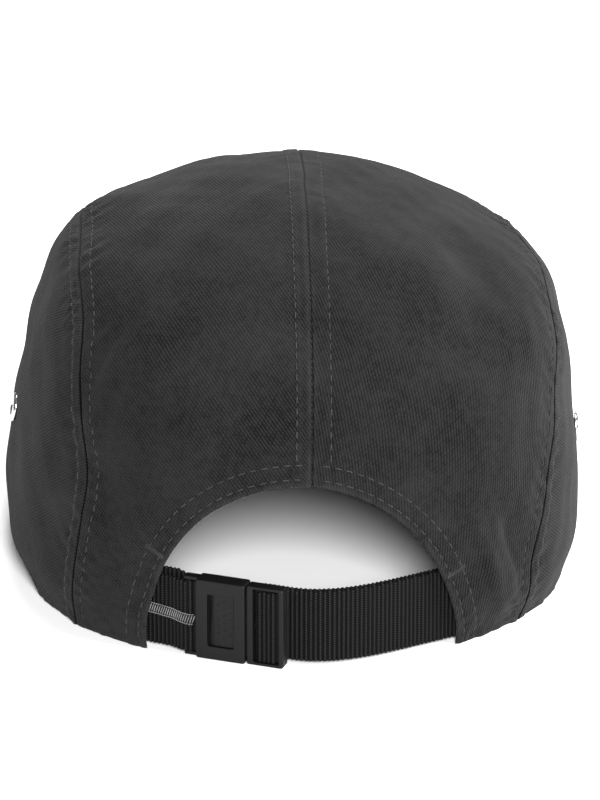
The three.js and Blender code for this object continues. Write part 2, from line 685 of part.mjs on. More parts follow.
// The long strap: from behind the right leg of the arch it passes behind the slide's outer bar,
// comes forward over its middle bar, and goes back behind itself as a short tail.
function strapRight() {
  const bendRadius = LAYER_HALF;
  const leg = rimLine(LEG_TURN, SINGLE_INSET);
  const leave = buckleToPlan(SLIDE_END + WEB_CLEARANCE, BEHIND_SLIDE);
  const free = blend(leave, BUCKLE_ALONG, leg, rimWay(LEG_TURN, SINGLE_INSET), WEB_STEPS);
  const tucked = spread(TUCK_STEPS, (s) => rimLine(mix(LEG_TURN, LEG_TURN + TUCK_TURN, s), SINGLE_INSET));
  const outerTurn = OUTER_SLOT + SLOT / 2;
  const innerTurn = INNER_SLOT + SLOT / 2;
  const threaded = [
    ...bend(innerTurn + bendRadius, BEHIND_STRAP + bendRadius, bendRadius, 270, 180),
    ...bend(innerTurn + bendRadius, OVER_BAR - bendRadius, bendRadius, 180, 90),
    ...bend(outerTurn - bendRadius, OVER_BAR - bendRadius, bendRadius, 90, 0),
    ...bend(outerTurn + bendRadius, BEHIND_SLIDE + bendRadius, bendRadius, 180, 270),
  ];
  const behind = shifted(free, -(WEB_THICKNESS + WEB_CLEARANCE));
  const tail = behind.filter((point) => point.distanceTo(behind[0]) < TAIL_LENGTH).reverse();
  return named("strap_right", band([...tail, ...threaded, ...free, ...tucked.slice(1)]), webbing());
}

// The short strap: one length of webbing round the socket's bar, with both layers sewn together
// and tucked in behind the left leg of the arch.
function strapLeft() {
  const loopRadius = LOOP_BAR / 2 + WEB_CLEARANCE + WEB_THICKNESS / 2;
  const leg = rimLine(-LEG_TURN, DOUBLE_INSET);
  const tucked = spread(TUCK_STEPS, (s) => rimLine(mix(-LEG_TURN - TUCK_TURN, -LEG_TURN, s), DOUBLE_INSET));
  const bar = buckleToPlan(BAR_PLACE, 0);
  const free = blend(leg, rimWay(-LEG_TURN, DOUBLE_INSET), bar, BUCKLE_ALONG, WEB_STEPS);
  const middle = [...tucked, ...free.slice(1)];
  const opening = (point) => {
    const away = point.distanceTo(free.at(-1));
    const share = THREE.MathUtils.smoothstep(away, 0, 3 * loopRadius);
    return mix(loopRadius, LAYER_HALF, share);
  };
  const layer = (sign) => middle.map((point, k) => shifted(middle, sign * opening(point))[k]);
  const front = layer(1).slice(0, -1);
  const back = layer(-1).slice(0, -1);
  const loop = spread(LOOP_STEPS, (s) => {
    const angle = degrees(mix(90, -90, s));
    return buckleToPlan(BAR_PLACE + loopRadius * Math.cos(angle), loopRadius * Math.sin(angle));
  });
  return named("strap_left", band([...front, ...loop, ...back.reverse()]), webbing());
}

// Buckle

const BUCKLE_HEIGHT = WEB_WIDTH + 2 * (WEB_CLEARANCE + BUCKLE_EDGE);

// An outline in the buckle's face with rounded corners.
function rounded(fromU, toU, fromW, toW, radius, Kind = THREE.Shape) {
  const outline = new Kind();
  outline.moveTo(fromU + radius, fromW);
  outline.lineTo(toU - radius, fromW);
  outline.absarc(toU - radius, fromW + radius, radius, -Math.PI / 2, 0);
  outline.lineTo(toU, toW - radius);
  outline.absarc(toU - radius, toW - radius, radius, 0, Math.PI / 2);
  outline.lineTo(fromU + radius, toW);
  outline.absarc(fromU + radius, toW - radius, radius, Math.PI / 2, Math.PI);
  outline.lineTo(fromU, fromW + radius);
  outline.absarc(fromU + radius, fromW + radius, radius, Math.PI, 1.5 * Math.PI);
  return outline;
}

// A plate with the outline in the buckle's face, from one depth to another.
function plate(outline, fromN, toN, soften = 0) {
  const geometry = new THREE.ExtrudeGeometry(outline, {
    depth: toN - fromN - 2 * soften,
    bevelEnabled: soften > 0,
    bevelThickness: soften,
    bevelSize: soften,
    bevelOffset: -soften,
    bevelSegments: 2,
    curveSegments: 3,
  });
  return outward(geometry.translate(0, 0, fromN + soften).rotateX(Math.PI / 2));
}

function block(fromU, toU, fromW, toW, fromN, toN) {
  const box = new THREE.BoxGeometry(toU - fromU, toN - fromN, toW - fromW);
  return box.translate((fromU + toU) / 2, -(fromN + toN) / 2, (fromW + toW) / 2);
}

// The socket: a hollow body with a window over the button, and a bar for the short strap.
function buckleSocket() {
  const half = SOCKET_THICKNESS / 2;
  const barHalf = LOOP_BAR / 2;
  const armHalf = barHalf + BUCKLE_EDGE / 3;
  const body = plate(rounded(-SOCKET_LENGTH, 0, 0, BUCKLE_HEIGHT, CORNER), -half, half, FACE_ROUND);
  const armRoot = 2 * SOCKET_WALL - SOCKET_LENGTH;
  const lowArm = block(BAR_PLACE - barHalf, armRoot, 0, BUCKLE_EDGE, -armHalf, armHalf);
  const highArm = lowArm.clone().translate(0, 0, BUCKLE_HEIGHT - BUCKLE_EDGE);
  const bar = new THREE.CylinderGeometry(barHalf, barHalf, BUCKLE_HEIGHT - BUCKLE_EDGE, BAR_SIDES);
  bar.rotateX(Math.PI / 2).translate(BAR_PLACE, 0, BUCKLE_HEIGHT / 2);
  const pocket = block(
    SOCKET_WALL - SOCKET_LENGTH, SOCKET_WALL, 2 * SOCKET_WALL, BUCKLE_HEIGHT - 2 * SOCKET_WALL,
    SOCKET_WALL - half, half - SOCKET_WALL,
  );
  const window = plate(buttonOutline(0), 0, half + SOCKET_WALL);
  return named("buckle_socket", cut(join(body, lowArm, highArm, bar), pocket, window), plastic());
}

// The window's outline in the buckle's face, or the button's, which is smaller all round.
function buttonOutline(inset) {
  const low = (BUCKLE_HEIGHT - WINDOW_HEIGHT) / 2;
  return rounded(
    -WINDOW_MARGIN - WINDOW_LENGTH + inset, -WINDOW_MARGIN - inset,
    low + inset, low + WINDOW_HEIGHT - inset, CORNER,
  );
}

// The tongue: the frame that the long strap is threaded through, a blade that fills the socket
// and the button that stands up in its window, sloped on the side away from the strap.
function buckleTongue() {
  const half = SOCKET_THICKNESS / 2;
  const outline = rounded(SLIDE_START, SLIDE_END, 0, BUCKLE_HEIGHT, CORNER);
  const opening = [BUCKLE_EDGE, BUCKLE_HEIGHT - BUCKLE_EDGE];
  outline.holes.push(rounded(INNER_SLOT, OUTER_SLOT + SLOT, ...opening, CORNER / 3, THREE.Path));
  const frame = plate(outline, -SLIDE_BACK, SLIDE_FRONT, FACE_ROUND);
  const barHalf = MIDDLE_BAR_THICKNESS / 2;
  const bar = block(
    INNER_SLOT + SLOT, OUTER_SLOT, BUCKLE_EDGE / 2, BUCKLE_HEIGHT - BUCKLE_EDGE / 2, -barHalf, barHalf,
  );
  const bladeHalf = half - SOCKET_WALL - MOULD_GAP;
  const blade = block(
    SOCKET_WALL - SOCKET_LENGTH + MOULD_GAP, SLIDE_START + SLIDE_BAR_INNER / 2,
    2 * SOCKET_WALL + MOULD_GAP, BUCKLE_HEIGHT - 2 * SOCKET_WALL - MOULD_GAP, -bladeHalf, bladeHalf,
  );
  const button = cut(plate(buttonOutline(MOULD_GAP), 0, half - BUTTON_STEP), buttonSlope());
  return named("buckle_tongue", join(frame, bar, blade, button), plastic());
}

// The wedge that slopes the button's left side.
function buttonSlope() {
  const start = -WINDOW_MARGIN - WINDOW_LENGTH;
  const crest = start + BUTTON_RAMP;
  const face = SOCKET_THICKNESS / 2 - BUTTON_STEP;
  const foot = SOCKET_THICKNESS / 2 - SOCKET_WALL;
  const wedge = new THREE.Shape([
    new THREE.Vector2(start, -foot), new THREE.Vector2(crest, -face),
    new THREE.Vector2(crest, -face - BUTTON_STEP), new THREE.Vector2(start, -face - BUTTON_STEP),
  ]);
  const geometry = new THREE.ExtrudeGeometry(wedge, { depth: BUCKLE_HEIGHT, bevelEnabled: false });
  return outward(geometry);
}

function buckle() {
  const group = new THREE.Group();
  group.add(buckleSocket(), buckleTongue());
  group.position.set(BUCKLE_ORIGIN.x, BUCKLE_ORIGIN.y, 0);
  group.rotation.z = Math.atan2(BUCKLE_ALONG.y, BUCKLE_ALONG.x);
  return group;
}

const SIDES = ["left", "right"];
const cap = new THREE.Group();
cap.add(frontPanel(), ...SIDES.map(crownPanel), ...SIDES.map(sidePanel), ...SIDES.map(eyelet));
cap.add(peak(), strapLeft(), strapRight(), buckle());

// The origin goes to the ground under the middle of the whole cap.
cap.updateMatrixWorld(true);
const bounds = new THREE.Box3().setFromObject(cap, true);
const middle = bounds.getCenter(new THREE.Vector3());
cap.position.set(-middle.x, -middle.y, -bounds.min.z);

export default cap;
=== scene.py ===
"""A jockey cap of charcoal twill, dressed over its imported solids.

The crown is one smooth surface over the unit disc, cut into five sewn panels. Every panel, seam
and row of stitches is made from that surface. Lengths are millimetres until a mesh is made.
"""

import math

import bpy
import numpy as np
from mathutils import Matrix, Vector


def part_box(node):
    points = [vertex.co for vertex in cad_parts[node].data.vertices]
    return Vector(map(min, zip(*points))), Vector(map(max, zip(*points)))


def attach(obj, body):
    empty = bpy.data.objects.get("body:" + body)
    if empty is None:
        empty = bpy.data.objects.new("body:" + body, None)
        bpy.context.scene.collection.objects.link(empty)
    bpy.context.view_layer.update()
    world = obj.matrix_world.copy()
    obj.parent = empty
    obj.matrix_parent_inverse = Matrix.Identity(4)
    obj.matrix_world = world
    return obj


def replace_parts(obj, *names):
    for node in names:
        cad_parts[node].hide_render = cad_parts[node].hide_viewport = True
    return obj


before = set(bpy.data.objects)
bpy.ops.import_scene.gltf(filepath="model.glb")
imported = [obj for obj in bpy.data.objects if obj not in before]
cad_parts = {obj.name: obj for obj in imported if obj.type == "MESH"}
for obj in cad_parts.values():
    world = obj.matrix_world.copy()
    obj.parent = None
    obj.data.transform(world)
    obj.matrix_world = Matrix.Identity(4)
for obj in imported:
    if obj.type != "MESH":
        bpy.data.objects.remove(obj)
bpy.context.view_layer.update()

bl_info = {
    "name": "Jockey Cap",
    "version": (1, 0, 0),
    "blender": (4, 5, 0),
    "location": "View3D > Sidebar > Cap",
    "description": "Sews a twill jockey cap with a webbing strap over its solids",
    "category": "Object",
}

MM = 0.001

# Crown, arch and peak, as the solids have them
CROWN_WIDTH = 187
CROWN_DEPTH = 197
CROWN_HEIGHT = 124
FRONT_LIFT = 15
SWAY = 2.2
SHOULDER_DROP = 3.2
DENT_DEPTH = 2
CLOTH = 1.6
SEAM_GAP = 0.3
SEAM_OFFSET = 2.3
ARCH_WIDTH = 95
ARCH_HEIGHT = 57.5
ARCH_FULLNESS = {"left": 2.25, "right": 1.95}
PEAK_LENGTH = 68
PEAK_THICKNESS = 2.6
PEAK_SPREAD = 60
PEAK_TUCK = 5
PEAK_RISE = 8
PEAK_TOUCH = 58
PEAK_FULLNESS = 2.5

# Webbing and buckle
WEB_WIDTH = 24
WEB_THICKNESS = 1.3
WEB_CLEARANCE = 0.35
STRAP_TUCK = 13
STRAP_SHOW = 3
SHORT_STRAP = 12.4
TAIL_LENGTH = 57
BUCKLE_STAND = 3.5
BUCKLE_SWING = 16
BUCKLE_EDGE = 1
SOCKET_LENGTH = 16.3
SOCKET_THICKNESS = 6
LOOP_BAR = 2.2
WINDOW_LENGTH = 8.9
WINDOW_MARGIN = 3.5
BUTTON_STEP = 0.6
BUTTON_RAMP = 2.4
SLIDE_START = 0.3
SLIDE_LENGTH = 12.2
SLIDE_BACK = 1.9
SLIDE_BAR_INNER = 2.2
SLIDE_BAR_OUTER = 1.6
MIDDLE_BAR_THICKNESS = 1.8

# Reaches on rings from the rim (ring 1) to the middle on top (ring 0), as shares of half the
# width or depth, with the exponent of the plan's outline
PLAN_ROWS = {
    "ring": (1, 0.9, 0.78, 0.64, 0.52, 0.42, 0.3, 0.15, 0),
    "left": (0.965, 1, 0.984, 0.94, 0.887, 0.785, 0.565, 0.289, 0),
    "right": (0.965, 1, 0.99, 0.957, 0.91, 0.797, 0.567, 0.289, 0),
    "front": (0.98, 1, 1, 0.985, 0.945, 0.85, 0.64, 0.335, 0),
    "back": (0.985, 1.005, 0.99, 0.95, 0.868, 0.741, 0.538, 0.274, 0),
    "square": (2.35, 2.35, 2.35, 2.35, 2.35, 2.3, 2.2, 2.05, 2),
}

# Heights on the same rings, as shares of the height over the rim
HEIGHT_ROWS = {
    "ring": PLAN_ROWS["ring"],
    "side": (0, 0.105, 0.29, 0.508, 0.694, 0.815, 0.895, 0.964, 1),
    "front": (0, 0.07, 0.25, 0.47, 0.66, 0.78, 0.904, 0.982, 1),
    "back": (0, 0.12, 0.3, 0.5, 0.66, 0.782, 0.895, 0.976, 1),
}

# Soft dents: angle, ring, spread in degrees, rise in rings, lean in degrees a ring, and depth
DENTS = (
    (-141, 0.47, 6, 0.09, 0, 0.8), (-130, 0.69, 5, 0.1, 15, 0.8), (-141, 0.79, 6, 0.05, 0, 0.6),
    (-40, 0.39, 11, 0.1, -200, 1), (-55, 0.27, 18, 0.06, 0, -0.4), (-66, 0.54, 12, 0.09, 0, -0.5),
    (-54, 0.84, 3.5, 0.09, 50, -0.7), (-47, 0.82, 3.5, 0.08, 50, 0.6),
    (172, 0.38, 24, 0.1, 0, -1.35), (180, 0.72, 26, 0.17, 0, -0.95), (-168, 1.0, 20, 0.09, 0, 0.9),
    (158, 0.34, 14, 0.07, 0, -0.7), (22, 0.4, 16, 0.06, 0, 0.8),
)

# Side seams from the front corner over the shoulder and down the back, as turn and ring
SEAM_ROWS = {
    "left": ((-44, 0.47), (-28, 0.41), (-8, 0.385), (14, 0.4), (32, 0.46), (40, 0.57), (46, 0.7),
             (45, 0.84), (44, 1)),
    "right": ((-44, 0.47), (-28, 0.42), (-12, 0.43), (4, 0.455), (20, 0.51), (31, 0.63),
              (37, 0.74), (43, 0.87), (45, 1)),
}
SEAM_BEND = 4
FRONT_SEAM_TURN = -47
FRONT_SEAM_RING = 0.45
EYELETS = {"left": (8, 0.427), "right": (9, 0.355)}
SIDES = ("left", "right")

# Distances of the rows of stitches from their seams
SIDE_ROW = 4
CENTRE_ROWS = {"left": 4.8, "right": 5.8}
FRONT_ROW = 4
CORNER_ROW = 3
HEM_ROWS = (2.5, 7)
PEAK_ROWS = (2.5, 8, 14, 20, 26, 32, 38)

# Short tacks across the hem of the arch: the panel and the lap round the arch
HEM_TACKS = (("crown_left", 33), ("crown_right", 152))

# The way the ribs of the twill run, in degrees from the panel's own width
TWILL_TURN = {
    "crown_left": -54, "crown_right": -79, "side_left": 35, "side_right": -28, "front": -45, "peak": 50,
}


def size(name, description, default, low, high):
    """A length in millimetres that a user would change."""
    return bpy.props.FloatProperty(
        name=name, description=description, default=default * MM, min=low * MM, max=high * MM,
        precision=5, unit="LENGTH")


def colour(name, description, default):
    """A colour that a user would change."""
    return bpy.props.FloatVectorProperty(
        name=name, description=description, default=default, size=3, min=0, max=1, subtype="COLOR")


class CapSewing(bpy.types.PropertyGroup):
    """Sizes of the seams and the stitches."""

    seam_roll: size("Seam Roll", "Radius of the cloth where it turns into a seam", 0.75, 0.1, 1.5)
    seam_raise: size(
        "Seam Raise", "How far the folded cloth stands up between seam and stitches", 0.38, 0, 1)
    pucker: size("Pucker", "Height of the ripples where the thread pulls the cloth", 0.5, 0, 1.5)
    pitch: size("Stitch Pitch", "Distance from one stitch to the next", 3.6, 1, 8)
    length: size("Stitch Length", "Length of each stitch on the face of the cloth", 2.5, 0.5, 6)
    thread: size("Thread", "Diameter of the sewing thread", 0.32, 0.1, 1)


class CapWebbing(bpy.types.PropertyGroup):
    """Sizes of the strap's webbing."""

    rib_pitch: size("Rib Pitch", "Distance between the webbing's cross ribs", 1.45, 0.5, 4)
    rib_height: size("Rib Height", "How far the ribs stand up", 0.2, 0, 0.4)
    layer_lift: size(
        "Layer Lift", "How much higher the short strap's back layer sits", 2.4, 0, 6)


class CapColours(bpy.types.PropertyGroup):
    """Colours of the cap's finishes."""

    twill: colour("Twill", "Top of the twill's ribs", (0.0098, 0.0098, 0.01))
    # Painted shade: the twill darkens between its ribs
    twill_groove_shade: colour("Twill Groove Shade", "Between the twill's ribs", (0.0009, 0.0009, 0.0009))
    washed: colour("Washed Twill", "Where wear has paled the cloth", (0.02, 0.02, 0.0204))
    thread: colour("Thread", "Sewing thread of the seams", (0.036, 0.036, 0.0365))
    webbing: colour("Webbing", "Ribs of the strap", (0.0008, 0.0008, 0.0008))
    # Painted highlight: the pale tops of the webbing's ribs
    webbing_highlight: colour("Webbing Highlight", "Paler yarns on the ribs", (0.017, 0.0155, 0.0165))
    bartack: colour("Bartack", "Pale thread of the close zigzag on the short strap", (0.2, 0.2, 0.203))
    plastic: colour("Plastic", "Moulded buckle", (0.0022, 0.0022, 0.0023))
    nickel: colour("Nickel", "Plated eyelets", (0.66, 0.65, 0.63))
    floor: colour("Floor", "Pale floor of the studio", (0.86, 0.86, 0.86))


def follow(rows, column, ring, odd=False):
    """Smooth curve through a column of rows, mirrored beyond the top."""
    places = np.array(rows["ring"], float)
    values = np.array(rows[column], float)
    last = len(places) - 1
    mirror = -1 if odd else 1
    places = np.concatenate(([2 * places[0] - places[1]], places, [-places[-2]]))
    values = np.concatenate(([2 * values[0] - values[1]], values, [mirror * values[-2]]))
    slopes = (values[2:] - values[:-2]) / (places[2:] - places[:-2])
    places, values = places[1:-1], values[1:-1]
    index = np.clip(np.searchsorted(-places, -ring, side="left") - 1, 0, last - 1)
    span = places[index + 1] - places[index]
    t = (ring - places[index]) / span
    start = (2 * t**3 - 3 * t**2 + 1) * values[index] + (t**3 - 2 * t**2 + t) * span * slopes[index]
    end = (3 * t**2 - 2 * t**3) * values[index + 1] + (t**3 - t**2) * span * slopes[index + 1]
    return start + end


def crown_point(disc):
    """Points of the crown's outer face over places on the unit disc."""
    p, q = disc[..., 0], disc[..., 1]
    length = np.maximum(np.hypot(p, q), 1e-6)
    ring = np.minimum(length, 1)
    across, along = p / length, q / length
    side = CROWN_WIDTH / 2 * np.where(
        across > 0, follow(PLAN_ROWS, "right", ring, True), follow(PLAN_ROWS, "left", ring, True))
    deep = CROWN_DEPTH / 2 * np.where(
        along > 0, follow(PLAN_ROWS, "front", ring, True), follow(PLAN_ROWS, "back", ring, True))
    square = follow(PLAN_ROWS, "square", ring)
    reach = ((np.abs(across) / side) ** square + (np.abs(along) / deep) ** square) ** (-1 / square)
    side_up = CROWN_HEIGHT * follow(HEIGHT_ROWS, "side", ring)
    back_up = CROWN_HEIGHT * follow(HEIGHT_ROWS, "back", ring)
    front_up = FRONT_LIFT + (CROWN_HEIGHT - FRONT_LIFT) * follow(HEIGHT_ROWS, "front", ring)
    level = across**2 * side_up + along**2 * np.where(along > 0, front_up, back_up)
    share = level / CROWN_HEIGHT
    drop = SHOULDER_DROP * (reach * across / (CROWN_WIDTH / 2)) * share**2
    point = np.stack((reach * across + SWAY * share, reach * along, level - drop), axis=-1)
    out = unit(point - np.array((0, 0, CROWN_HEIGHT / 3)))
    angle = np.degrees(np.arctan2(q, p))
    depth = np.zeros_like(ring)
    for dent_angle, dent_ring, spread, rise, lean, share_deep in DENTS:
        aside = (angle - dent_angle - lean * (ring - dent_ring) + 180) % 360 - 180
        aside = aside / spread
        above = (ring - dent_ring) / rise
        depth = depth + DENT_DEPTH * share_deep * np.exp(-aside**2 - above**2)
    return point - out * depth[..., None]


def unit(vectors):
    return vectors / np.maximum(np.linalg.norm(vectors, axis=-1, keepdims=True), 1e-12)


def crown_ways(disc):
    """Change of the crown's point with each of the two disc coordinates."""
    step = 0.004
    ways = []
    for shift in ((step, 0), (0, step)):
        ahead, behind = crown_point(disc + np.array(shift)), crown_point(disc - np.array(shift))
        ways.append((ahead - behind) / (2 * step))
    return ways


def crown_normal(disc):
    along_p, along_q = crown_ways(disc)
    return unit(np.cross(along_p, along_q))


def polar(angle, ring):
    """Places on the disc from degrees and rings."""
    angle, ring = np.radians(angle), np.asarray(ring, float)
    return np.stack(np.broadcast_arrays(ring * np.cos(angle), ring * np.sin(angle)), axis=-1)


def side_angle(side, turn):
    return 180 + turn if side == "left" else -turn


def mix(a, b, share):
    return a + (b - a) * share


def smooth(value, low, high):
    share = np.clip((value - low) / (high - low), 0, 1)
    return share * share * (3 - 2 * share)


def ring_at_height(angle, height):
    """The ring where the crown reaches a height, at an angle."""
    low, high = 0.0, 1.0
    for _ in range(40):
        middle = (low + high) / 2
        if crown_point(polar(angle, middle))[2] > height:
            low = middle
        else:
            high = middle
    return (low + high) / 2


def side_seam(side, share):
    """Places on a side seam, from the front corner (share 0) to the rim (share 1)."""
    rows = np.array(SEAM_ROWS[side], float)
    rows = np.vstack((2 * rows[0] - rows[1], rows, 2 * rows[-1] - rows[-2]))
    last = len(rows) - 3
    bend = SEAM_BEND / last
    t = last * np.where(share < 0.5, 2 * bend * share, bend + (1 - bend) * (2 * share - 1))
    index = np.minimum(t.astype(int), last - 1)
    t = (t - index)[:, None]
    before, start, end, after = (rows[index + k] for k in range(4))
    first, second = (end - before) / 2, (after - start) / 2
    point = start + first * t + (3 * (end - start) - 2 * first - second) * t**2
    point = point + (2 * (start - end) + first + second) * t**3
    return polar(side_angle(side, point[:, 0]), point[:, 1])


BACK_RIM = CROWN_DEPTH / 2 * PLAN_ROWS["back"][0]
ARCH_HALF = math.degrees(math.asin(ARCH_WIDTH / 2 / BACK_RIM))
ARCH_RISE = 1 - ring_at_height(-90, ARCH_HEIGHT)


def arch_place(lap):
    """Places on the arch's edge, from 0 at its left foot to 180 at its right one."""
    lap = np.radians(lap)
    across = np.cos(lap)
    power = 2 / np.where(across > 0, ARCH_FULLNESS["left"], ARCH_FULLNESS["right"])
    turn = -ARCH_HALF * np.sign(across) * np.abs(across) ** power
    return polar(-90 + turn, 1 - ARCH_RISE * np.abs(np.sin(lap)) ** power)


SEAM_TURN = math.degrees(SEAM_OFFSET / np.linalg.norm(crown_point(np.array((0.0, ARCH_RISE - 1)))))
SEAM_LAP = 90 + math.degrees(math.asin((SEAM_TURN / ARCH_HALF) ** (ARCH_FULLNESS["right"] / 2)))


def centre_seam(share):
    """Places on the centre seam, from the arch over the top to the front panel."""
    foot = arch_place(np.array(SEAM_LAP))
    per_ring = crown_point(np.array((0, 0.1)))[1] / 0.1
    across = mix(foot[0], SEAM_OFFSET / per_ring, np.minimum(3 * share, 1))
    return np.stack((across, mix(foot[1], FRONT_SEAM_RING, share)), axis=-1)


def front_seam(side, share):
    """Half of the front panel's top seam, from its corner to the centre seam."""
    turn, ring = SEAM_ROWS[side][0]
    start = side_angle(side, turn)
    start = start + 360 if start < 0 else start
    end = centre_seam(np.array((1.0,)))[0]
    end_angle = math.degrees(math.atan2(end[1], end[0]))
    rise = 1 - (1 - share) ** 2
    return polar(mix(start, end_angle, share), mix(ring, np.hypot(*end), rise))


def front_side_seam(side, share):
    """The seam beside the front panel, from the rim up to the corner."""
    turn, ring = SEAM_ROWS[side][0]
    return polar(side_angle(side, mix(FRONT_SEAM_TURN, turn, share)), mix(1, ring, share))


def rim(start, end, share):
    return polar(mix(start, end, share), 1)


def joined(first, second, cut):
    """One edge made of two, the first as far as the share called cut."""
    def edge(share):
        early = first(np.clip(share / cut, 0, 1))
        late = second(np.clip((share - cut) / (1 - cut), 0, 1))
        return np.where((share < cut)[:, None], early, late)
    return edge


ARCH_SHARE = 10 / 26


def panel_edges(name):
    """The four edges of a panel: its foot, its top, its first side and its last side."""
    kind, _, side = name.partition("_")
    if kind == "front":
        top = joined(lambda s: front_seam("left", s), lambda s: front_seam("right", 1 - s), 0.5)
        angles = [side_angle(each, FRONT_SEAM_TURN) for each in SIDES]
        return (lambda s: rim(*angles, s), top,
                lambda s: front_side_seam("left", s), lambda s: front_side_seam("right", s))
    back_foot = side_angle(side, SEAM_ROWS[side][-1][0])
    if kind == "side":
        front_foot = side_angle(side, FRONT_SEAM_TURN)
        return (lambda s: rim(back_foot, front_foot, s), lambda s: side_seam(side, (1 - s) / 2),
                lambda s: side_seam(side, 1 - s / 2), lambda s: front_side_seam(side, s))
    arch_foot = 270 - ARCH_HALF if side == "left" else ARCH_HALF - 90
    foot_lap = 0 if side == "left" else 180
    inner = joined(lambda s: arch_place(mix(foot_lap, SEAM_LAP, s)), centre_seam, ARCH_SHARE)
    return (lambda s: rim(back_foot, arch_foot, s), lambda s: front_seam(side, s),
            lambda s: side_seam(side, 1 - s), inner)


def fill(edges, s, t):
    """A grid of disc places between four edges."""
    low, high, first, last = (edge(share) for edge, share in zip(edges, (s, s, t, t)))
    s, t = s[None, :, None], t[:, None, None]
    grid = low[None] * (1 - t) + high[None] * t + first[:, None] * (1 - s) + last[:, None] * s
    corners = low[0] * (1 - s) * (1 - t) + low[-1] * s * (1 - t)
    return grid - corners - high[0] * (1 - s) * t - high[-1] * s * t


def crowded(count, length, *stops):
    """Shares from 0 to 1, closer together at both ends, through each of the stops."""
    share = np.linspace(0, 1, count)
    share = share - 0.55 * np.sin(2 * np.pi * share) / (2 * np.pi)
    near = np.array((0.12, 0.28, 0.48, 0.75)) / length
    for stop in stops:
        share[np.argmin(np.abs(share - stop))] = stop
    share = np.unique(np.concatenate((share, near, 1 - near)))
    keep = np.append(np.diff(share) > 0.05 / length, True)
    keep[0] = True
    for stop in stops:
        keep[np.argmin(np.abs(share - stop))] = True
    inset = 0.05 / length
    return inset + (1 - 2 * inset) * share[keep]


SHARES = np.linspace(0, 1, 361)


def seam_lines():
    """Every seam and edge of the crown as a line of points."""
    lines = {f"side_{side}": crown_point(side_seam(side, SHARES)) for side in SIDES}
    lines.update({f"corner_{side}": crown_point(front_side_seam(side, SHARES)) for side in SIDES})
    top = np.concatenate((front_seam("left", SHARES), front_seam("right", 1 - SHARES)[1:]))
    lines["front"] = crown_point(top)
    lines["centre"] = crown_point(centre_seam(SHARES))
    lines["arch"] = crown_point(arch_place(180 * SHARES))
    lines["rim"] = crown_point(rim(-90 + ARCH_HALF, 270 - ARCH_HALF, np.linspace(0, 1, 901)))
    return lines


def to_line(points, line):
    """Distance from each point to a line, and how far along the line it is nearest."""
    flat = points.reshape(-1, 3)
    steps = np.diff(line, axis=0)
    lengths = np.linalg.norm(steps, axis=1)
    starts = np.concatenate(([0], np.cumsum(lengths)))
    nearest = np.empty(len(flat), int)
    squares = (line**2).sum(axis=1)
    for k in range(0, len(flat), 8000):
        nearest[k:k + 8000] = np.argmin(squares - 2 * flat[k:k + 8000] @ line.T, axis=1)
    best = np.full(len(flat), np.inf)
    along = np.zeros(len(flat))
    for index in (np.maximum(nearest - 1, 0), np.minimum(nearest, len(steps) - 1)):
        offset = flat - line[index]
        share = (offset * steps[index]).sum(axis=1) / np.maximum(lengths[index] ** 2, 1e-12)
        share = np.clip(share, 0, 1)
        distance = np.linalg.norm(offset - steps[index] * share[:, None], axis=1)
        closer = distance < best
        best = np.where(closer, distance, best)
        along = np.where(closer, starts[index] + share * lengths[index], along)
    return best.reshape(points.shape[:-1]), along.reshape(points.shape[:-1])


# Lines that shape each panel: line, distance of its stitches, raise, pucker, and its phase
PANEL_SEAMS = {
    "crown_left": (("side_left", SIDE_ROW, 0.6, 1.0, 0), ("front", FRONT_ROW, 0.4, 0.5, 0),
                   ("centre", CENTRE_ROWS["left"], 1.0, 0.3, 0)),
    "crown_right": (("side_right", SIDE_ROW, 0.6, 0.9, 1), ("front", FRONT_ROW, 0.4, 0.5, 1),
                    ("centre", CENTRE_ROWS["right"], 0.5, 0.3, 1)),
    "side_left": (("side_left", SIDE_ROW, 1.0, 0.8, 2),
                  ("corner_left", CORNER_ROW, 0.5, 0.4, 2)),
    "side_right": (("side_right", SIDE_ROW, 1.0, 0.8, 3),
                   ("corner_right", CORNER_ROW, 0.5, 0.4, 3)),
    "front": (("front", FRONT_ROW, 1.0, 0.4, 4), ("corner_left", CORNER_ROW, 0.6, 0.4, 4),
              ("corner_right", CORNER_ROW, 0.6, 0.4, 4)),
}

# Shallow folds of the worn cloth: from angle and ring, to angle and ring, width and depth
FOLDS = {
    "crown_left": (
        ((-133, 0.36), (-140, 0.62), 3.5, 0.7), ((-128, 0.44), (-133, 0.7), 3, 0.45),
        ((-116, 0.7), (-122, 0.92), 4, 0.4),
    ),
    "crown_right": (
        ((-58, 0.74), (-50, 0.97), 2.6, -0.7), ((-52, 0.72), (-45, 0.95), 2.2, 0.6),
        ((-50, 0.38), (-36, 0.5), 3.5, 0.6),
    ),
    "side_left": (), "side_right": (), "front": (),
}

# Ripples beside the seams: period, height and lean
RIPPLES = ((6.3, 1.0, 0.55), (4.1, 0.55, -0.4), (10.7, 0.7, 0.2), (2.9, 0.3, 0.3))

# Soft waves all over the cloth: change of phase with each coordinate, and height
WAVES = (
    ((0.021, 0.013, 0.034), 0.26), ((-0.03, 0.024, 0.018), 0.2), ((0.046, -0.03, 0.04), 0.1),
    ((-0.05, -0.062, 0.031), 0.07), ((0.09, 0.05, -0.07), 0.035), ((0.07, -0.1, 0.09), 0.03),
)


def ripple(along, distance, phase):
    """Uneven ripples across a seam, that lean a little as they run into the cloth."""
    total = np.zeros_like(along)
    for k, (period, height, lean) in enumerate(RIPPLES):
        turn = 2 * np.pi * (along + lean * distance) / period + 1.7 * phase + 2.3 * k
        total = total + height * np.sin(turn + 0.9 * np.sin(turn / 5.3 + k))
    fade = 0.62 + 0.38 * np.sin(2 * np.pi * along / 37 + 1.1 * phase)
    return total * fade / 1.6
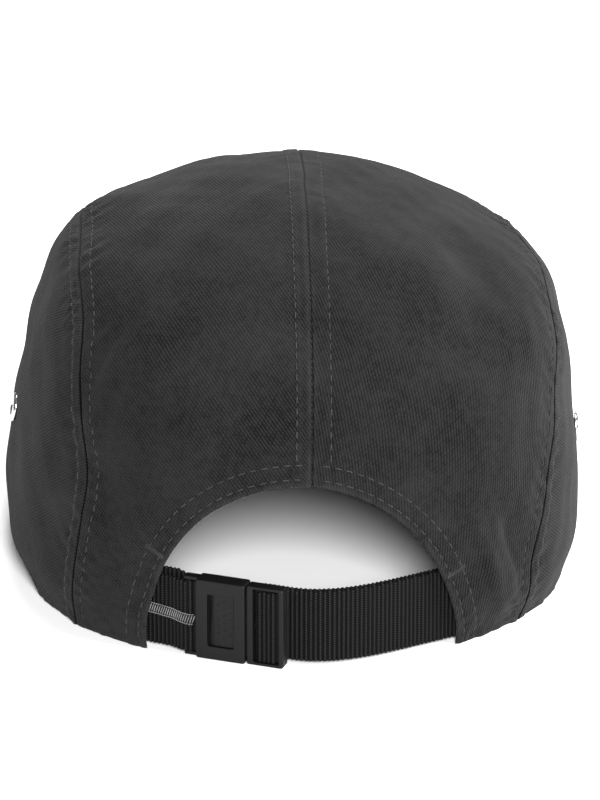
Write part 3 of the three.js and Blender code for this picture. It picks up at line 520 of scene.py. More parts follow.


# Reach of the painted shade that darkens the crease at a seam, and depth and width of the groove along
# a row of stitches
SEAM_SHADOW = 0.3
ROW_DEPTH = 0.22
HEM_ROW_DEPTH = 0.2
ROW_WIDTH = 0.45

# How far the puckers run on past the stitches of a seam and of the hem
SEAM_PUCKER = 3.4
HEM_PUCKER = 2.5
RIM_PUCKER = 6
HEM_RAISE = 0.25


def bell(distance, middle, width):
    """A smooth rise to 1 at a distance, and down again."""
    return np.exp(-(((distance - middle) / width) ** 2))


def past(distance, row, width):
    """1 as far as a row, and a smooth fall to 0 beyond it."""
    return np.exp(-np.maximum(distance - row, 0) ** 2 / (2 * width**2))


def relief(name, points, lines, sewing):
    """How far the cloth stands out from the crown, and its wear (up to 1) less the painted shade of its
    seams (down to -1).
    """
    roll, lift, pucker = (
        value / MM for value in (sewing.seam_roll, sewing.seam_raise, sewing.pucker))
    height = np.zeros(points.shape[:-1])
    for wave, tall in WAVES:
        height = height + tall * np.sin(2 * np.pi * points @ np.array(wave) + 3 * tall * 10)
    # Wear starts paler where the waves stand out; the second value gathers the painted shade that
    # darkens the seam creases
    wear_and_seam_shade, seam_shade = 0.12 * height, 0
    for key, row, raised, pull, phase in PANEL_SEAMS[name]:
        distance, along = to_line(points, lines[key])
        # Painted shade: the cloth darkens along the seam line itself
        seam_shade = np.maximum(seam_shade, bell(distance, 0, SEAM_SHADOW))
        height = height - turned(distance, roll) - ROW_DEPTH * bell(distance, row, ROW_WIDTH)
        height = height + lift * raised * (1 - smooth(distance, row - 0.2, row + 0.8))
        reach = past(distance, row, SEAM_PUCKER) * smooth(distance, 0, 1.5)
        height = height + pucker * pull * ripple(along, distance, phase) * reach
        pale = 0.5 * bell(distance, 0.9, 0.7) + 0.25 * bell(distance, row - 0.9, 0.8)
        wear_and_seam_shade = wear_and_seam_shade + pale * raised
    for start, end, width, depth in FOLDS[name]:
        share = np.linspace(0, 1, 60)
        line = crown_point(polar(mix(start[0], end[0], share), mix(start[1], end[1], share)))
        distance, along = to_line(points, line)
        whole = np.linalg.norm(np.diff(line, axis=0), axis=1).sum()
        taper = np.sin(np.pi * np.clip(along / whole, 0, 1)) ** 0.7
        height = height - depth * taper * bell(distance, 0, width)
    if name.startswith("crown"):
        distance, along = to_line(points, lines["arch"])
        hem = HEM_ROWS[1]
        height = height + HEM_RAISE * (1 - smooth(distance, hem - 0.2, hem + 0.9))
        for row in HEM_ROWS:
            height = height - HEM_ROW_DEPTH * bell(distance, row, ROW_WIDTH)
        height = height + 0.3 * pucker * ripple(along, distance, 5) * past(distance, hem, HEM_PUCKER)
        wear_and_seam_shade = wear_and_seam_shade + 0.55 * bell(distance, 0.6, 0.8)
    distance, along = to_line(points, lines["rim"])
    height = height + 0.35 * pucker * ripple(along, distance, 6) * bell(distance, 0, RIM_PUCKER)
    wear_and_seam_shade = wear_and_seam_shade + 0.5 * bell(distance, 0.6, 0.8)
    # The painted seam shade is taken off the wear, so the value falls below zero where it darkens the
    # cloth
    return height, np.clip(wear_and_seam_shade, 0, 1) * (1 - seam_shade) - seam_shade


def turned(distance, radius):
    """How far a rounded edge has dropped, at a distance from its end."""
    inside = np.clip(radius - distance, 0, radius)
    return radius - np.sqrt(radius**2 - inside**2)


def grid_faces(rows, columns):
    j, i = np.mgrid[0:rows - 1, 0:columns - 1]
    a = (j * columns + i).ravel()
    return np.stack((a, a + 1, a + columns + 1, a + columns), axis=1)


def new_piece(name, points, faces, material, slot, uvs=None, wear_and_seam_shade=None):
    """A mesh from points of the crown's own frame, that rides on the cap's body."""
    mesh = bpy.data.meshes.new(name)
    mesh.from_pydata(placed(points).tolist(), [], [list(map(int, face)) for face in faces])
    mesh.validate()
    if uvs is not None:
        layer = mesh.uv_layers.new(name="UVMap")
        index = np.empty(len(mesh.loops), np.int32)
        mesh.loops.foreach_get("vertex_index", index)
        layer.data.foreach_set("uv", np.asarray(uvs)[index].astype(np.float32).ravel())
    # This attribute carries the cloth's wear and, below zero, its painted seam shade
    if wear_and_seam_shade is not None:
        attribute = mesh.attributes.new("wear_and_seam_shade", "FLOAT", "POINT")
        attribute.data.foreach_set("value", np.asarray(wear_and_seam_shade, np.float32))
    mesh.shade_smooth()
    mesh.materials.append(material)
    piece = bpy.data.objects.new(name, mesh)
    bpy.context.collection.objects.link(piece)
    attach(piece, "root")
    return piece


def flatten(points, normals):
    """Lays a grid of points out flat, as its cloth was cut, with its length upright."""
    rows, columns = points.shape[:2]
    mesh = bpy.data.meshes.new("pattern")
    faces = grid_faces(rows, columns)
    mesh.from_pydata(points.reshape(-1, 3).tolist(), [], faces.tolist())
    mesh.uv_layers.new(name="UVMap")
    piece = bpy.data.objects.new("pattern", mesh)
    bpy.context.collection.objects.link(piece)
    bpy.context.view_layer.objects.active = piece
    piece.select_set(True)
    bpy.ops.object.mode_set(mode="EDIT")
    bpy.ops.mesh.select_all(action="SELECT")
    bpy.ops.uv.unwrap(method="ANGLE_BASED", margin=0)
    bpy.ops.object.mode_set(mode="OBJECT")
    loops = np.empty(2 * len(mesh.loops), np.float32)
    mesh.uv_layers[0].data.foreach_get("uv", loops)
    index = np.empty(len(mesh.loops), np.int32)
    mesh.loops.foreach_get("vertex_index", index)
    flat = np.zeros((rows * columns, 2))
    flat[index] = loops.reshape(-1, 2)
    bpy.data.objects.remove(piece)
    bpy.data.meshes.remove(mesh)
    flat = flat.reshape(rows, columns, 2)
    real = np.linalg.norm(np.diff(points, axis=0), axis=2).sum()
    flat = flat * real / np.linalg.norm(np.diff(flat, axis=0), axis=2).sum()
    across, up = np.diff(flat, axis=1)[:-1], np.diff(flat, axis=0)[:, :-1]
    area = (across[..., 0] * up[..., 1] - across[..., 1] * up[..., 0]).sum()
    ways = np.cross(np.diff(points, axis=1)[:-1], np.diff(points, axis=0)[:, :-1])
    if area * (ways * normals[:-1, :-1]).sum() < 0:
        flat[..., 0] *= -1
    upright = np.diff(flat, axis=0)[rows // 4:-rows // 4].sum(axis=(0, 1))
    return turn_flat(flat, 90 - math.degrees(math.atan2(upright[1], upright[0])))


def turn_flat(flat, angle):
    """Points in plan, turned by degrees."""
    cos, sin = math.cos(math.radians(angle)), math.sin(math.radians(angle))
    x, y = flat[..., 0], flat[..., 1]
    return np.stack((x * cos - y * sin, x * sin + y * cos), axis=-1)


def resample(coarse, coarse_s, coarse_t, s, t):
    """Values of a coarse grid at the shares of a finer one."""
    by_s = np.stack([
        np.stack([np.interp(s, coarse_s, row[:, k]) for row in coarse]) for k in range(coarse.shape[2])
    ], axis=-1)
    return np.stack([
        np.stack([np.interp(t, coarse_t, by_s[:, i, k]) for i in range(len(s))], axis=1)
        for k in range(coarse.shape[2])
    ], axis=-1)


def crown_origin():
    """Where the crown's own centre lies in the row frame, in millimetres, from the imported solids."""
    angles, rings = np.meshgrid(np.linspace(-180, 180, 721), np.linspace(0.7, 1, 31))
    reach = crown_point(polar(angles, rings))
    boxes = [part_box(f"side_panel_{side}") for side in SIDES]
    middle = (boxes[0][0][0] + boxes[1][1][0]) / 2 / MM
    across = middle - (reach[..., 0].min() + reach[..., 0].max()) / 2
    front = CROWN_DEPTH / 2 * PLAN_ROWS["front"][0] + PEAK_LENGTH
    return np.array((across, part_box("peak")[1][1] / MM - front, 0))


ORIGIN = crown_origin()


def placed(points):
    """Points of the crown's own frame, in millimetres, moved to the row frame in metres."""
    return (points + ORIGIN) * MM


def two_faced(outer, inner, keep):
    """Points and faces of a wall between two grids, with faces kept where keep is true."""
    rows, columns = outer.shape[:2]
    count = rows * columns
    faces = grid_faces(rows, columns)[keep.ravel()]
    edges = {}
    for face in faces:
        for k in range(4):
            edges[(int(face[k]), int(face[(k + 1) % 4]))] = True
    border = [edge for edge in edges if (edge[1], edge[0]) not in edges]
    walls = [(b, a, a + count, b + count) for a, b in border]
    points = np.concatenate((outer.reshape(-1, 3), inner.reshape(-1, 3)))
    every = faces.tolist() + (faces[:, ::-1] + count).tolist() + walls
    used = np.unique(np.concatenate([np.array(face) for face in (faces, faces + count)]).ravel())
    place = np.full(len(points), -1)
    place[used] = np.arange(len(used))
    return points[used], [[place[v] for v in face] for face in every], used


def facing(points, normals):
    """True where a grid's own order already faces out along the normals."""
    ways = np.cross(np.diff(points, axis=1)[:-1], np.diff(points, axis=0)[:, :-1])
    return (ways * normals[:-1, :-1]).sum() > 0


def cloth_piece(name, node, points, normals, walls, keep, flat, wear_and_seam_shade, material):
    """Cloth between an outer and an inner grid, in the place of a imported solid."""
    vertices, faces, used = two_faced(*walls, keep)
    if not facing(points, normals):
        faces = [face[::-1] for face in faces]
    uvs = MM * turn_flat(flat, -TWILL_TURN[name]).reshape(-1, 2)
    uvs, wear_and_seam_shade = np.concatenate((uvs, uvs))[used], np.concatenate(wear_and_seam_shade).ravel()[used]
    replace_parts(new_piece(f"cloth_{name}", vertices, faces, material, "twill", uvs, wear_and_seam_shade), node)


# Columns, width, rows and length of the grid of each panel, and the radius of its eyelet's hole
PANEL_SIZES = {
    "crown_left": (125, 95, 235, 300), "crown_right": (125, 90, 235, 300),
    "side_left": (125, 110, 115, 100), "side_right": (125, 110, 115, 95),
    "front": (120, 130, 95, 85),
}
EYELET_HOLE = 3.4


def eyelet_pose(side):
    turn, up = EYELETS[side]
    angle = side_angle(side, turn)
    place = polar(angle, ring_at_height(angle, up * CROWN_HEIGHT))
    return crown_point(place), crown_normal(place)


def sew_panel(name, node, lines, sewing, material):
    """One panel of the crown, with its seams, puckers, folds and turned edges."""
    columns, width, rows, length = PANEL_SIZES[name]
    s = crowded(columns, width, *((0.5,) if name == "front" else ()))
    t = crowded(rows, length, *((ARCH_SHARE, 0.5) if name.startswith("crown") else ()))
    edges = panel_edges(name)
    disc = fill(edges, s, t)
    points, normals = crown_point(disc), crown_normal(disc)
    height, wear_and_seam_shade = relief(name, points, lines, sewing)
    back = height - CLOTH
    for key in ("rim", "arch") if name.startswith("crown") else ("rim",):
        distance, _ = to_line(points, lines[key])
        drop = turned(distance, CLOTH / 2)
        height, back = height - drop, back + drop
    outer, inner = points + normals * height[..., None], points + normals * back[..., None]
    keep = np.ones((len(t) - 1, len(s) - 1), bool)
    if name.startswith("side"):
        centre, _ = eyelet_pose(name.partition("_")[2])
        middle = (points[1:, 1:] + points[:-1, :-1]) / 2
        keep = np.linalg.norm(middle - centre, axis=2) > EYELET_HOLE
    coarse_s, coarse_t = np.linspace(0, 1, 31), np.linspace(0, 1, 53)
    coarse = fill(edges, coarse_s, coarse_t)
    flat = flatten(crown_point(coarse), crown_normal(coarse))
    flat = resample(flat, coarse_s, coarse_t, s, t)
    wear_and_seam_shade = (wear_and_seam_shade, np.zeros_like(wear_and_seam_shade))
    cloth_piece(name, node, points, normals, (outer, inner), keep, flat, wear_and_seam_shade, material)


class CAP_OT_crown(bpy.types.Operator):
    """Sew the five panels of the crown"""

    bl_idname = "cap.crown"
    bl_label = "Crown"

    def execute(self, context):
        sewing = context.scene.cap_sewing
        lines = seam_lines()
        material = twill_material(context.scene.cap_colours)
        nodes = {"crown_left": "crown_panel_left", "crown_right": "crown_panel_right",
                 "side_left": "side_panel_left", "side_right": "side_panel_right",
                 "front": "front_panel"}
        for name, node in nodes.items():
            sew_panel(name, node, lines, sewing, material)
        return {"FINISHED"}


# Peak: columns and rows of its grid, and how much of its width the grid covers
PEAK_MESH = (230, 90)
PEAK_COVER = 0.985


def peak_inset(turn):
    """Points of the peak's inner edge, tucked under the rim."""
    point = crown_point(polar(90 - turn, np.ones_like(turn)))
    flat = np.hypot(point[..., 0], point[..., 1])
    share = ((flat - PEAK_TUCK) / flat)[..., None]
    return np.concatenate((point[..., :2] * share, point[..., 2:] - SEAM_GAP), axis=-1)


def peak_edge(lap):
    """Points on the peak's front edge, from lap -90 at its left tip to 90 at its right one."""
    left, right = peak_inset(np.array((-PEAK_SPREAD, PEAK_SPREAD), float))
    middle, half = (left + right) / 2, (right - left) / 2
    reach = crown_point(np.array((0.0, 1.0)))[1] + PEAK_LENGTH - middle[1]
    across, ahead = np.sin(np.radians(lap)), np.abs(np.cos(np.radians(lap)))
    swing = np.sign(across) * np.abs(across) ** (2 / PEAK_FULLNESS)
    point = middle + half * swing[..., None]
    point[..., 1] += reach * ahead ** (2 / PEAK_FULLNESS)
    corner = np.where(lap < 0, left[2], right[2]) - PEAK_THICKNESS
    rise = PEAK_RISE * np.cos(np.radians(90 * np.abs(lap) / PEAK_TOUCH)) ** 2
    share = (np.abs(lap) - PEAK_TOUCH) / (90 - PEAK_TOUCH)
    point[..., 2] = np.where(np.abs(lap) < PEAK_TOUCH, rise, corner * share**2) + PEAK_THICKNESS
    return point


def peak_point(share, t):
    """Points of the peak's top face: share from -1 to 1 round it, t from its tuck to its edge."""
    start, end = peak_inset(PEAK_SPREAD * share), peak_edge(90 * share)
    return mix(start, end, t[..., None])


def peak_frame(share, t):
    """Points of the peak's top face with its normals."""
    step = 1e-3
    across = peak_point(share + step, t) - peak_point(share - step, t)
    ahead = peak_point(share, t + step) - peak_point(share, t - step)
    normal = unit(np.cross(across, ahead))
    return peak_point(share, t), normal * np.sign(normal[..., 2:])


def peak_relief(points, edge):
    """Shallow channels along the rows of stitches, with the cloth puffed up between them."""
    distance, along = to_line(points, edge)
    height = np.zeros(points.shape[:-1])
    for row in PEAK_ROWS:
        height = height - 0.2 * bell(distance, row, 0.5)
    return height + 0.1 * ripple(along, distance, 7) * bell(distance, 0, 12), distance


class CAP_OT_peak(bpy.types.Operator):
    """Cover the stiff peak with cloth and turn its edge"""

    bl_idname = "cap.peak"
    bl_label = "Peak"

    def execute(self, context):
        columns, rows = PEAK_MESH
        share, t = np.meshgrid(PEAK_COVER * np.linspace(-1, 1, columns), crowded(rows, 60))
        points, normals = peak_frame(share, t)
        edge = peak_edge(np.linspace(-90, 90, 721))
        height, distance = peak_relief(points, edge)
        drop = turned(distance, PEAK_THICKNESS / 2)
        down = np.array((0, 0, 1.0))
        top = points + normals * height[..., None] - down * drop[..., None]
        under = points - down * (PEAK_THICKNESS - drop - 0.6 * height)[..., None]
        keep = np.ones((len(t) - 1, columns - 1), bool)
        wear_and_seam_shade = (0.6 * bell(distance, 0.4, 1.1),) * 2
        material = twill_material(context.scene.cap_colours)
        cloth_piece(
            "peak", "peak", points, normals, (top, under), keep, points[..., :2], wear_and_seam_shade, material)
        return {"FINISHED"}


# Stitches

def beside(places, distance, towards):
    """Places on the crown at a distance from a line of places, on the side of another place."""
    points, normals = crown_point(places), crown_normal(places)
    ways = unit(np.gradient(points, axis=0))
    out = unit(np.cross(ways, normals))
    aim = crown_point(towards) - points
    out = out * np.sign(np.median((out * aim).sum(axis=1)))
    target = points + out * distance
    found = places.copy()
    for _ in range(6):
        miss = target - crown_point(found)
        along_p, along_q = crown_ways(found)
        pp, qq, pq = ((a * b).sum(axis=1) for a, b in (
            (along_p, along_p), (along_q, along_q), (along_p, along_q)))
        mp, mq = (miss * along_p).sum(axis=1), (miss * along_q).sum(axis=1)
        det = pp * qq - pq**2
        found = found + np.stack(((qq * mp - pq * mq) / det, (pp * mq - pq * mp) / det), axis=1)
    miss, normals = target - crown_point(found), crown_normal(found)
    miss = np.linalg.norm(miss - normals * (miss * normals).sum(axis=1, keepdims=True), axis=1)
    return found[(miss < 0.2) & (np.linalg.norm(found, axis=1) < 0.995)]


STITCH_RINGS = 7
ROW_GAP = 1.2


def along_row(points, normals, pitch, length):
    """Samples of a row's points and normals for every stitch, ring by ring."""
    reach = length_along(points)
    count = max(int((reach[-1] - 2 * ROW_GAP) / pitch), 1)
    spare = (reach[-1] - count * pitch) / 2
    middles = spare + pitch * (np.arange(count) + 0.5)
    at = middles[:, None] + np.linspace(-0.5, 0.5, STITCH_RINGS)[None] * length
    return [np.stack([np.interp(at, reach, value[:, k]) for k in range(3)], axis=-1)
            for value in (points, normals)]


def tube_faces(rings, sides, base=0, closed=True):
    """Faces round a row of rings, and over both of its ends where it is closed."""
    index = np.arange(sides)
    near, far = base + index, base + (index + 1) % sides
    faces = []
    for low in range(0, (rings - 1) * sides, sides):
        faces.extend(zip(low + near, low + far, low + sides + far, low + sides + near))
    if closed:
        faces += [tuple(near[::-1]), tuple((rings - 1) * sides + near)]
    return faces


THREAD_SIDES = 7


def thread_mesh(centres, normals, radius):
    """Short threads, each a tube through its row of centres that narrows to closed ends."""
    count, rings = centres.shape[:2]
    ways = unit(np.gradient(centres, axis=1))
    aside = unit(np.cross(ways, normals))
    up = unit(np.cross(aside, ways))
    thick = np.sqrt(np.clip(1 - 0.93 * np.linspace(-1, 1, rings)**4, 0, 1))
    turn = np.linspace(0, 2 * np.pi, THREAD_SIDES, endpoint=False)[:, None]
    ring = np.cos(turn) * aside[:, :, None] + np.sin(turn) * up[:, :, None]
    points = centres[:, :, None] + radius * thick[:, None, None] * ring
    faces = []
    for stitch in range(count):
        faces += tube_faces(rings, THREAD_SIDES, stitch * rings * THREAD_SIDES)
    return points.reshape(-1, 3), faces


def merged(parts):
    """Several sets of points and faces as one."""
    points, faces, count = [], [], 0
    for part_points, part_faces in parts:
        points.append(part_points)
        faces.extend(tuple(int(v) + count for v in face) for face in part_faces)
        count += len(part_points)
    return np.concatenate(points), faces


def stitch_row(points, normals, sewing):
    """The stitches of one row, sunk a little into the cloth at both ends."""
    pitch, length, radius = sewing.pitch / MM, sewing.length / MM, sewing.thread / 2 / MM
    centres, ups = along_row(points, normals, pitch, length)
    share = np.linspace(-1, 1, STITCH_RINGS)
    lift = radius * (0.75 - 1.9 * share**4)
    return thread_mesh(centres + unit(ups) * lift[None, :, None], unit(ups), radius)


def crown_rows(lines, sewing):
    """Every row of stitches on the crown."""
    share = np.linspace(0.004, 0.996, 300)
    middle = {name: fill(panel_edges(name), np.array((0.5,)), np.array((0.5,)))[0, 0]
              for name in PANEL_SIZES}
    rows = []
    for side in SIDES:
        seam = side_seam(side, share)
        rows.append((f"crown_{side}", seam, SIDE_ROW, middle[f"crown_{side}"]))
        rows.append((f"side_{side}", seam, SIDE_ROW, middle[f"side_{side}"]))
        centre = centre_seam(np.linspace(0.03, 0.985, 300))
        rows.append((f"crown_{side}", centre, CENTRE_ROWS[side], middle[f"crown_{side}"]))
        half = front_seam(side, np.linspace(0.02, 0.98, 200))
        rows.append(("front", half, FRONT_ROW, middle["front"]))
        corner = front_side_seam(side, np.linspace(0.02, 0.95, 200))
        rows.append((f"side_{side}", corner, CORNER_ROW, middle[f"side_{side}"]))
        foot = 0 if side == "left" else 180
        laps = mix(foot, SEAM_LAP, np.linspace(0.003, 0.995, 240))
        for row in HEM_ROWS:
            rows.append((f"crown_{side}", arch_place(laps), row, middle[f"crown_{side}"]))
    parts = []
    for name, seam, distance, towards in rows:
        places = beside(seam, distance, towards)
        points, normals = crown_point(places), crown_normal(places)
        height, _ = relief(name, points, lines, sewing)
        parts.append(stitch_row(points + normals * height[:, None], normals, sewing))
    for name, lap in HEM_TACKS:
        hem = arch_place(lap + np.linspace(-0.5, 0.5, 9))
        ends = [beside(hem, distance, middle[name])[len(hem) // 2]
                for distance in (HEM_ROWS[0] - 1, HEM_ROWS[1] + 1)]
        (start, end), normal = (crown_point(place) for place in ends), crown_normal(ends[0])
        heights = [relief(name, point[None], lines, sewing)[0][0] for point in (start, end)]
        start, end = start + normal * heights[0], end + normal * heights[1]
        parts.append(tack(start, end, normal, 14, 0.8, 0.9 * sewing.thread / 2 / MM))
    return parts


def peak_row_parts(sewing):
    """The rows of stitches on the peak, on both of its faces."""
    edge = peak_edge(np.linspace(-90, 90, 721))
    share = np.linspace(-0.97, 0.97, 500)
    depth = np.linspace(0, 1, 400)
    points = peak_point(*np.meshgrid(share, depth))
    distance, _ = to_line(points, edge)
    parts = []
    for row in PEAK_ROWS:
        close = distance[::-1] > row
        found = close.any(axis=0)
        index = len(depth) - 1 - np.argmax(close, axis=0)
        t = depth[index]
        clear = found & (t > 0.17)
        line, normals = peak_frame(share[clear], t[clear])
        height, _ = peak_relief(line, edge)
        parts.append(stitch_row(line + normals * height[:, None], normals, sewing))
        under = line - np.array((0, 0, PEAK_THICKNESS)) + normals * 0.6 * height[:, None]
        parts.append(stitch_row(under, -normals, sewing))
    return parts


def tack(start, end, normal, count, reach, radius):
    """A close zigzag of thread between two points, as high as reach on each side."""
    share = np.linspace(0, 1, count)[:, None]
    middle = start + (end - start) * share
    way = unit(end - start)
    aside = np.cross(normal, way)
    height = np.linspace(-1, 1, 7)
    lean = 0.12 * reach
    centres = (middle[:, None] + aside * (reach * height)[None, :, None]
               + way * (lean * height)[None, :, None]
               + normal * (radius * (0.9 - 1.6 * height**6))[None, :, None])
    ups = np.broadcast_to(normal, centres.shape)
    return thread_mesh(centres, ups, radius)


class CAP_OT_stitches(bpy.types.Operator):
    """Sew the rows of stitches beside the seams, round the arch and over the peak"""

    bl_idname = "cap.stitches"
    bl_label = "Stitches"

    def execute(self, context):
        sewing = context.scene.cap_sewing
        lines = seam_lines()
        material = thread_material("seam thread", context.scene.cap_colours.thread)
        points, faces = merged(crown_rows(lines, sewing))
        new_piece("stitches_crown", points, faces, material, "twill")
        points, faces = merged(peak_row_parts(sewing))
        new_piece("stitches_peak", points, faces, material, "twill")
        return {"FINISHED"}


# Eyelets

# Reach and height of the rolled eyelet round its section
EYELET_PROFILE = (
    (2.2, 0.15), (2.25, 0.5), (2.45, 0.9), (2.8, 1.18), (3.2, 1.3), (3.7, 1.26), (4.15, 1.08),
    (4.5, 0.8), (4.68, 0.5), (4.7, 0.25), (4.62, 0.05), (4.3, -0.05), (3.0, -0.05), (2.82, -0.2),
    (2.8, -1.7), (3.0, -1.85), (4.4, -1.85), (4.62, -2.0), (4.55, -2.3), (4.1, -2.5), (3.2, -2.6),
    (2.6, -2.45), (2.3, -2.1), (2.2, -1.7),
)
EYELET_SIDES = 72


class CAP_OT_eyelets(bpy.types.Operator):
    """Set a rolled nickel eyelet in each side panel"""

    bl_idname = "cap.eyelets"
    bl_label = "Eyelets"

    def execute(self, context):
        material = nickel_material(context.scene.cap_colours)
        turn = np.linspace(0, 2 * np.pi, EYELET_SIDES, endpoint=False)
        profile = np.array(EYELET_PROFILE)
        count = len(profile)
        faces = [(k + i, ahead + i, ahead + (i + 1) % count, k + (i + 1) % count)
                 for k, ahead in ((count * each, count * ((each + 1) % EYELET_SIDES))
                                  for each in range(EYELET_SIDES))
                 for i in range(count)]
        for side in SIDES:
            centre, normal = eyelet_pose(side)
            across = unit(np.cross(normal, np.array((0, 0, 1.0))))
            up = np.cross(across, normal)
            spoke = np.cos(turn)[:, None] * across + np.sin(turn)[:, None] * up
            points = centre + spoke[:, None] * profile[None, :, :1] + normal * profile[None, :, 1:]
            points = points.reshape(-1, 3)
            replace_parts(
                new_piece(f"ring_{side}", points, faces, material, "nickel"), f"eyelet_{side}")
        return {"FINISHED"}


# Webbing

TURN_PER_LENGTH = math.degrees(1 / BACK_RIM)
LEG_TURN = ARCH_HALF - TURN_PER_LENGTH * STRAP_SHOW
TUCK_TURN = TURN_PER_LENGTH * STRAP_TUCK
SLOT = WEB_THICKNESS + 2 * WEB_CLEARANCE
BAR_PLACE = -SOCKET_LENGTH - SLOT - LOOP_BAR / 2
SINGLE_INSET = CLOTH + SEAM_GAP + WEB_THICKNESS / 2
LAYER_HALF = (WEB_THICKNESS + WEB_CLEARANCE) / 2
DOUBLE_INSET = SINGLE_INSET + LAYER_HALF
BUCKLE_TURN = -TURN_PER_LENGTH * (ARCH_WIDTH / 2 - SHORT_STRAP + BAR_PLACE)
WEB_FOOT = BUCKLE_EDGE + WEB_CLEARANCE


def rim_line(turn, inset):
    """The rim's line in plan, moved in, at degrees from the middle of the arch."""
    turn = np.atleast_1d(np.asarray(turn, float))
    at = lambda angle: crown_point(polar(angle, np.ones_like(angle)))[..., :2]
    way = unit(at(turn - 89) - at(turn - 91))
    return at(turn - 90) + np.stack((-way[:, 1], way[:, 0]), axis=1) * inset


def rim_way(turn, inset):
    """The way the rim runs in plan, at degrees from the middle of the arch."""
    return unit(rim_line(turn + 1, inset) - rim_line(turn - 1, inset))[0]


BUCKLE_ALONG = turn_flat(rim_way(BUCKLE_TURN, 0), -BUCKLE_SWING)
BUCKLE_OUT = np.array((BUCKLE_ALONG[1], -BUCKLE_ALONG[0]))
BUCKLE_ORIGIN = rim_line(BUCKLE_TURN, SINGLE_INSET)[0] + BUCKLE_OUT * BUCKLE_STAND


def buckle_plan(u, n):
    """Points in plan from lengths along the buckle and out of its face."""
    u, n = (np.asarray(value, float)[..., None] for value in (u, n))
    return BUCKLE_ORIGIN + BUCKLE_ALONG * u + BUCKLE_OUT * n


def blend_line(start, start_way, end, end_way, steps=60):
    """A smooth line in plan that leaves one point and meets another in given ways."""
    reach = np.linalg.norm(end - start) / 3
    a, b = start + start_way * reach, end - end_way * reach
    t = np.linspace(0, 1, steps)[:, None]
    return (1 - t)**3 * start + 3 * (1 - t)**2 * t * a + 3 * (1 - t) * t**2 * b + t**3 * end


def shifted(line, distance):
    """A line in plan, moved out to one side."""
    way = unit(np.gradient(line, axis=0))
    return line + np.stack((way[:, 1], -way[:, 0]), axis=1) * np.asarray(distance)[..., None]


def bend(u, n, radius, start, end, steps=10):
    """A turn of the webbing round one of the slide's bars."""
    angle = np.radians(np.linspace(start, end, steps))
    return buckle_plan(u + radius * np.cos(angle), n + radius * np.sin(angle))


SLIDE_END = SLIDE_START + SLIDE_LENGTH
INNER_SLOT = SLIDE_START + SLIDE_BAR_INNER
OUTER_SLOT = SLIDE_END - SLIDE_BAR_OUTER - SLOT
OVER_BAR = (MIDDLE_BAR_THICKNESS + WEB_THICKNESS) / 2 + WEB_CLEARANCE
BEHIND_SLIDE = -SLIDE_BACK - WEB_CLEARANCE - WEB_THICKNESS / 2
BEHIND_STRAP = BEHIND_SLIDE - WEB_THICKNESS - WEB_CLEARANCE


def long_strap():
    """The long strap's line in plan, from its tail round the slide's middle bar to its tuck."""
    leg = rim_line(LEG_TURN, SINGLE_INSET)[0]
    leave = buckle_plan(SLIDE_END + WEB_CLEARANCE, BEHIND_SLIDE)
    free = blend_line(leave, BUCKLE_ALONG, leg, rim_way(LEG_TURN, SINGLE_INSET), 120)
    tucked = rim_line(np.linspace(LEG_TURN, LEG_TURN + TUCK_TURN, 30), SINGLE_INSET)
    inner, outer, radius = INNER_SLOT + SLOT / 2, OUTER_SLOT + SLOT / 2, LAYER_HALF
    threaded = np.concatenate((
        bend(inner + radius, BEHIND_STRAP + radius, radius, 270, 180),
        bend(inner + radius, OVER_BAR - radius, radius, 180, 90),
        bend(outer - radius, OVER_BAR - radius, radius, 90, 0),
        bend(outer + radius, BEHIND_SLIDE + radius, radius, 180, 270),
    ))
    behind = shifted(free, -(WEB_THICKNESS + WEB_CLEARANCE))
    tail = behind[np.linalg.norm(behind - behind[0], axis=1) < TAIL_LENGTH][::-1]
    return np.concatenate((tail, threaded, free, tucked[1:]))


def short_strap():
    """The short strap's line in plan, from its front layer round the socket's bar to its back one."""
    radius = LOOP_BAR / 2 + WEB_CLEARANCE + WEB_THICKNESS / 2
    leg = rim_line(-LEG_TURN, DOUBLE_INSET)[0]
    tucked = rim_line(np.linspace(-LEG_TURN - TUCK_TURN, -LEG_TURN, 30), DOUBLE_INSET)
    free = blend_line(leg, rim_way(-LEG_TURN, DOUBLE_INSET), buckle_plan(BAR_PLACE, 0), BUCKLE_ALONG)
    middle = np.concatenate((tucked, free[1:]))
    away = np.linalg.norm(middle - middle[-1], axis=1)
    opening = mix(radius, LAYER_HALF, smooth(away, 0, 3 * radius))
    loop_angle = np.radians(np.linspace(90, -90, 24))
    loop = buckle_plan(BAR_PLACE + radius * np.cos(loop_angle), radius * np.sin(loop_angle))
    front, back = shifted(middle, opening)[:-1], shifted(middle, -opening)[:-1]
    return np.concatenate((front, loop, back[::-1])), len(front), len(front) + len(loop)


def length_along(line):
    """The length along a line, up to each of its points."""
    return np.concatenate(([0], np.cumsum(np.linalg.norm(np.diff(line, axis=0), axis=1))))


def even(line, step):
    """The line sampled at equal steps, with the length along it."""
    reach = length_along(line)
    at = np.linspace(0, reach[-1], int(reach[-1] / step) + 1)
    return np.stack([np.interp(at, reach, line[:, k]) for k in range(2)], axis=1), at


# Rows of the webbing up its height as distance from its selvedge, and how thick it is there. The
# even rows start clear of the selvedge, and its edge is scalloped between the ribs.
SELVEDGE = ((0, 0.3), (0.12, 0.66), (0.3, 0.9), (0.55, 1), (1.2, 0.97), (2.4, 1))
SELVEDGE_CLEAR = 4.2
SCALLOP = 0.14


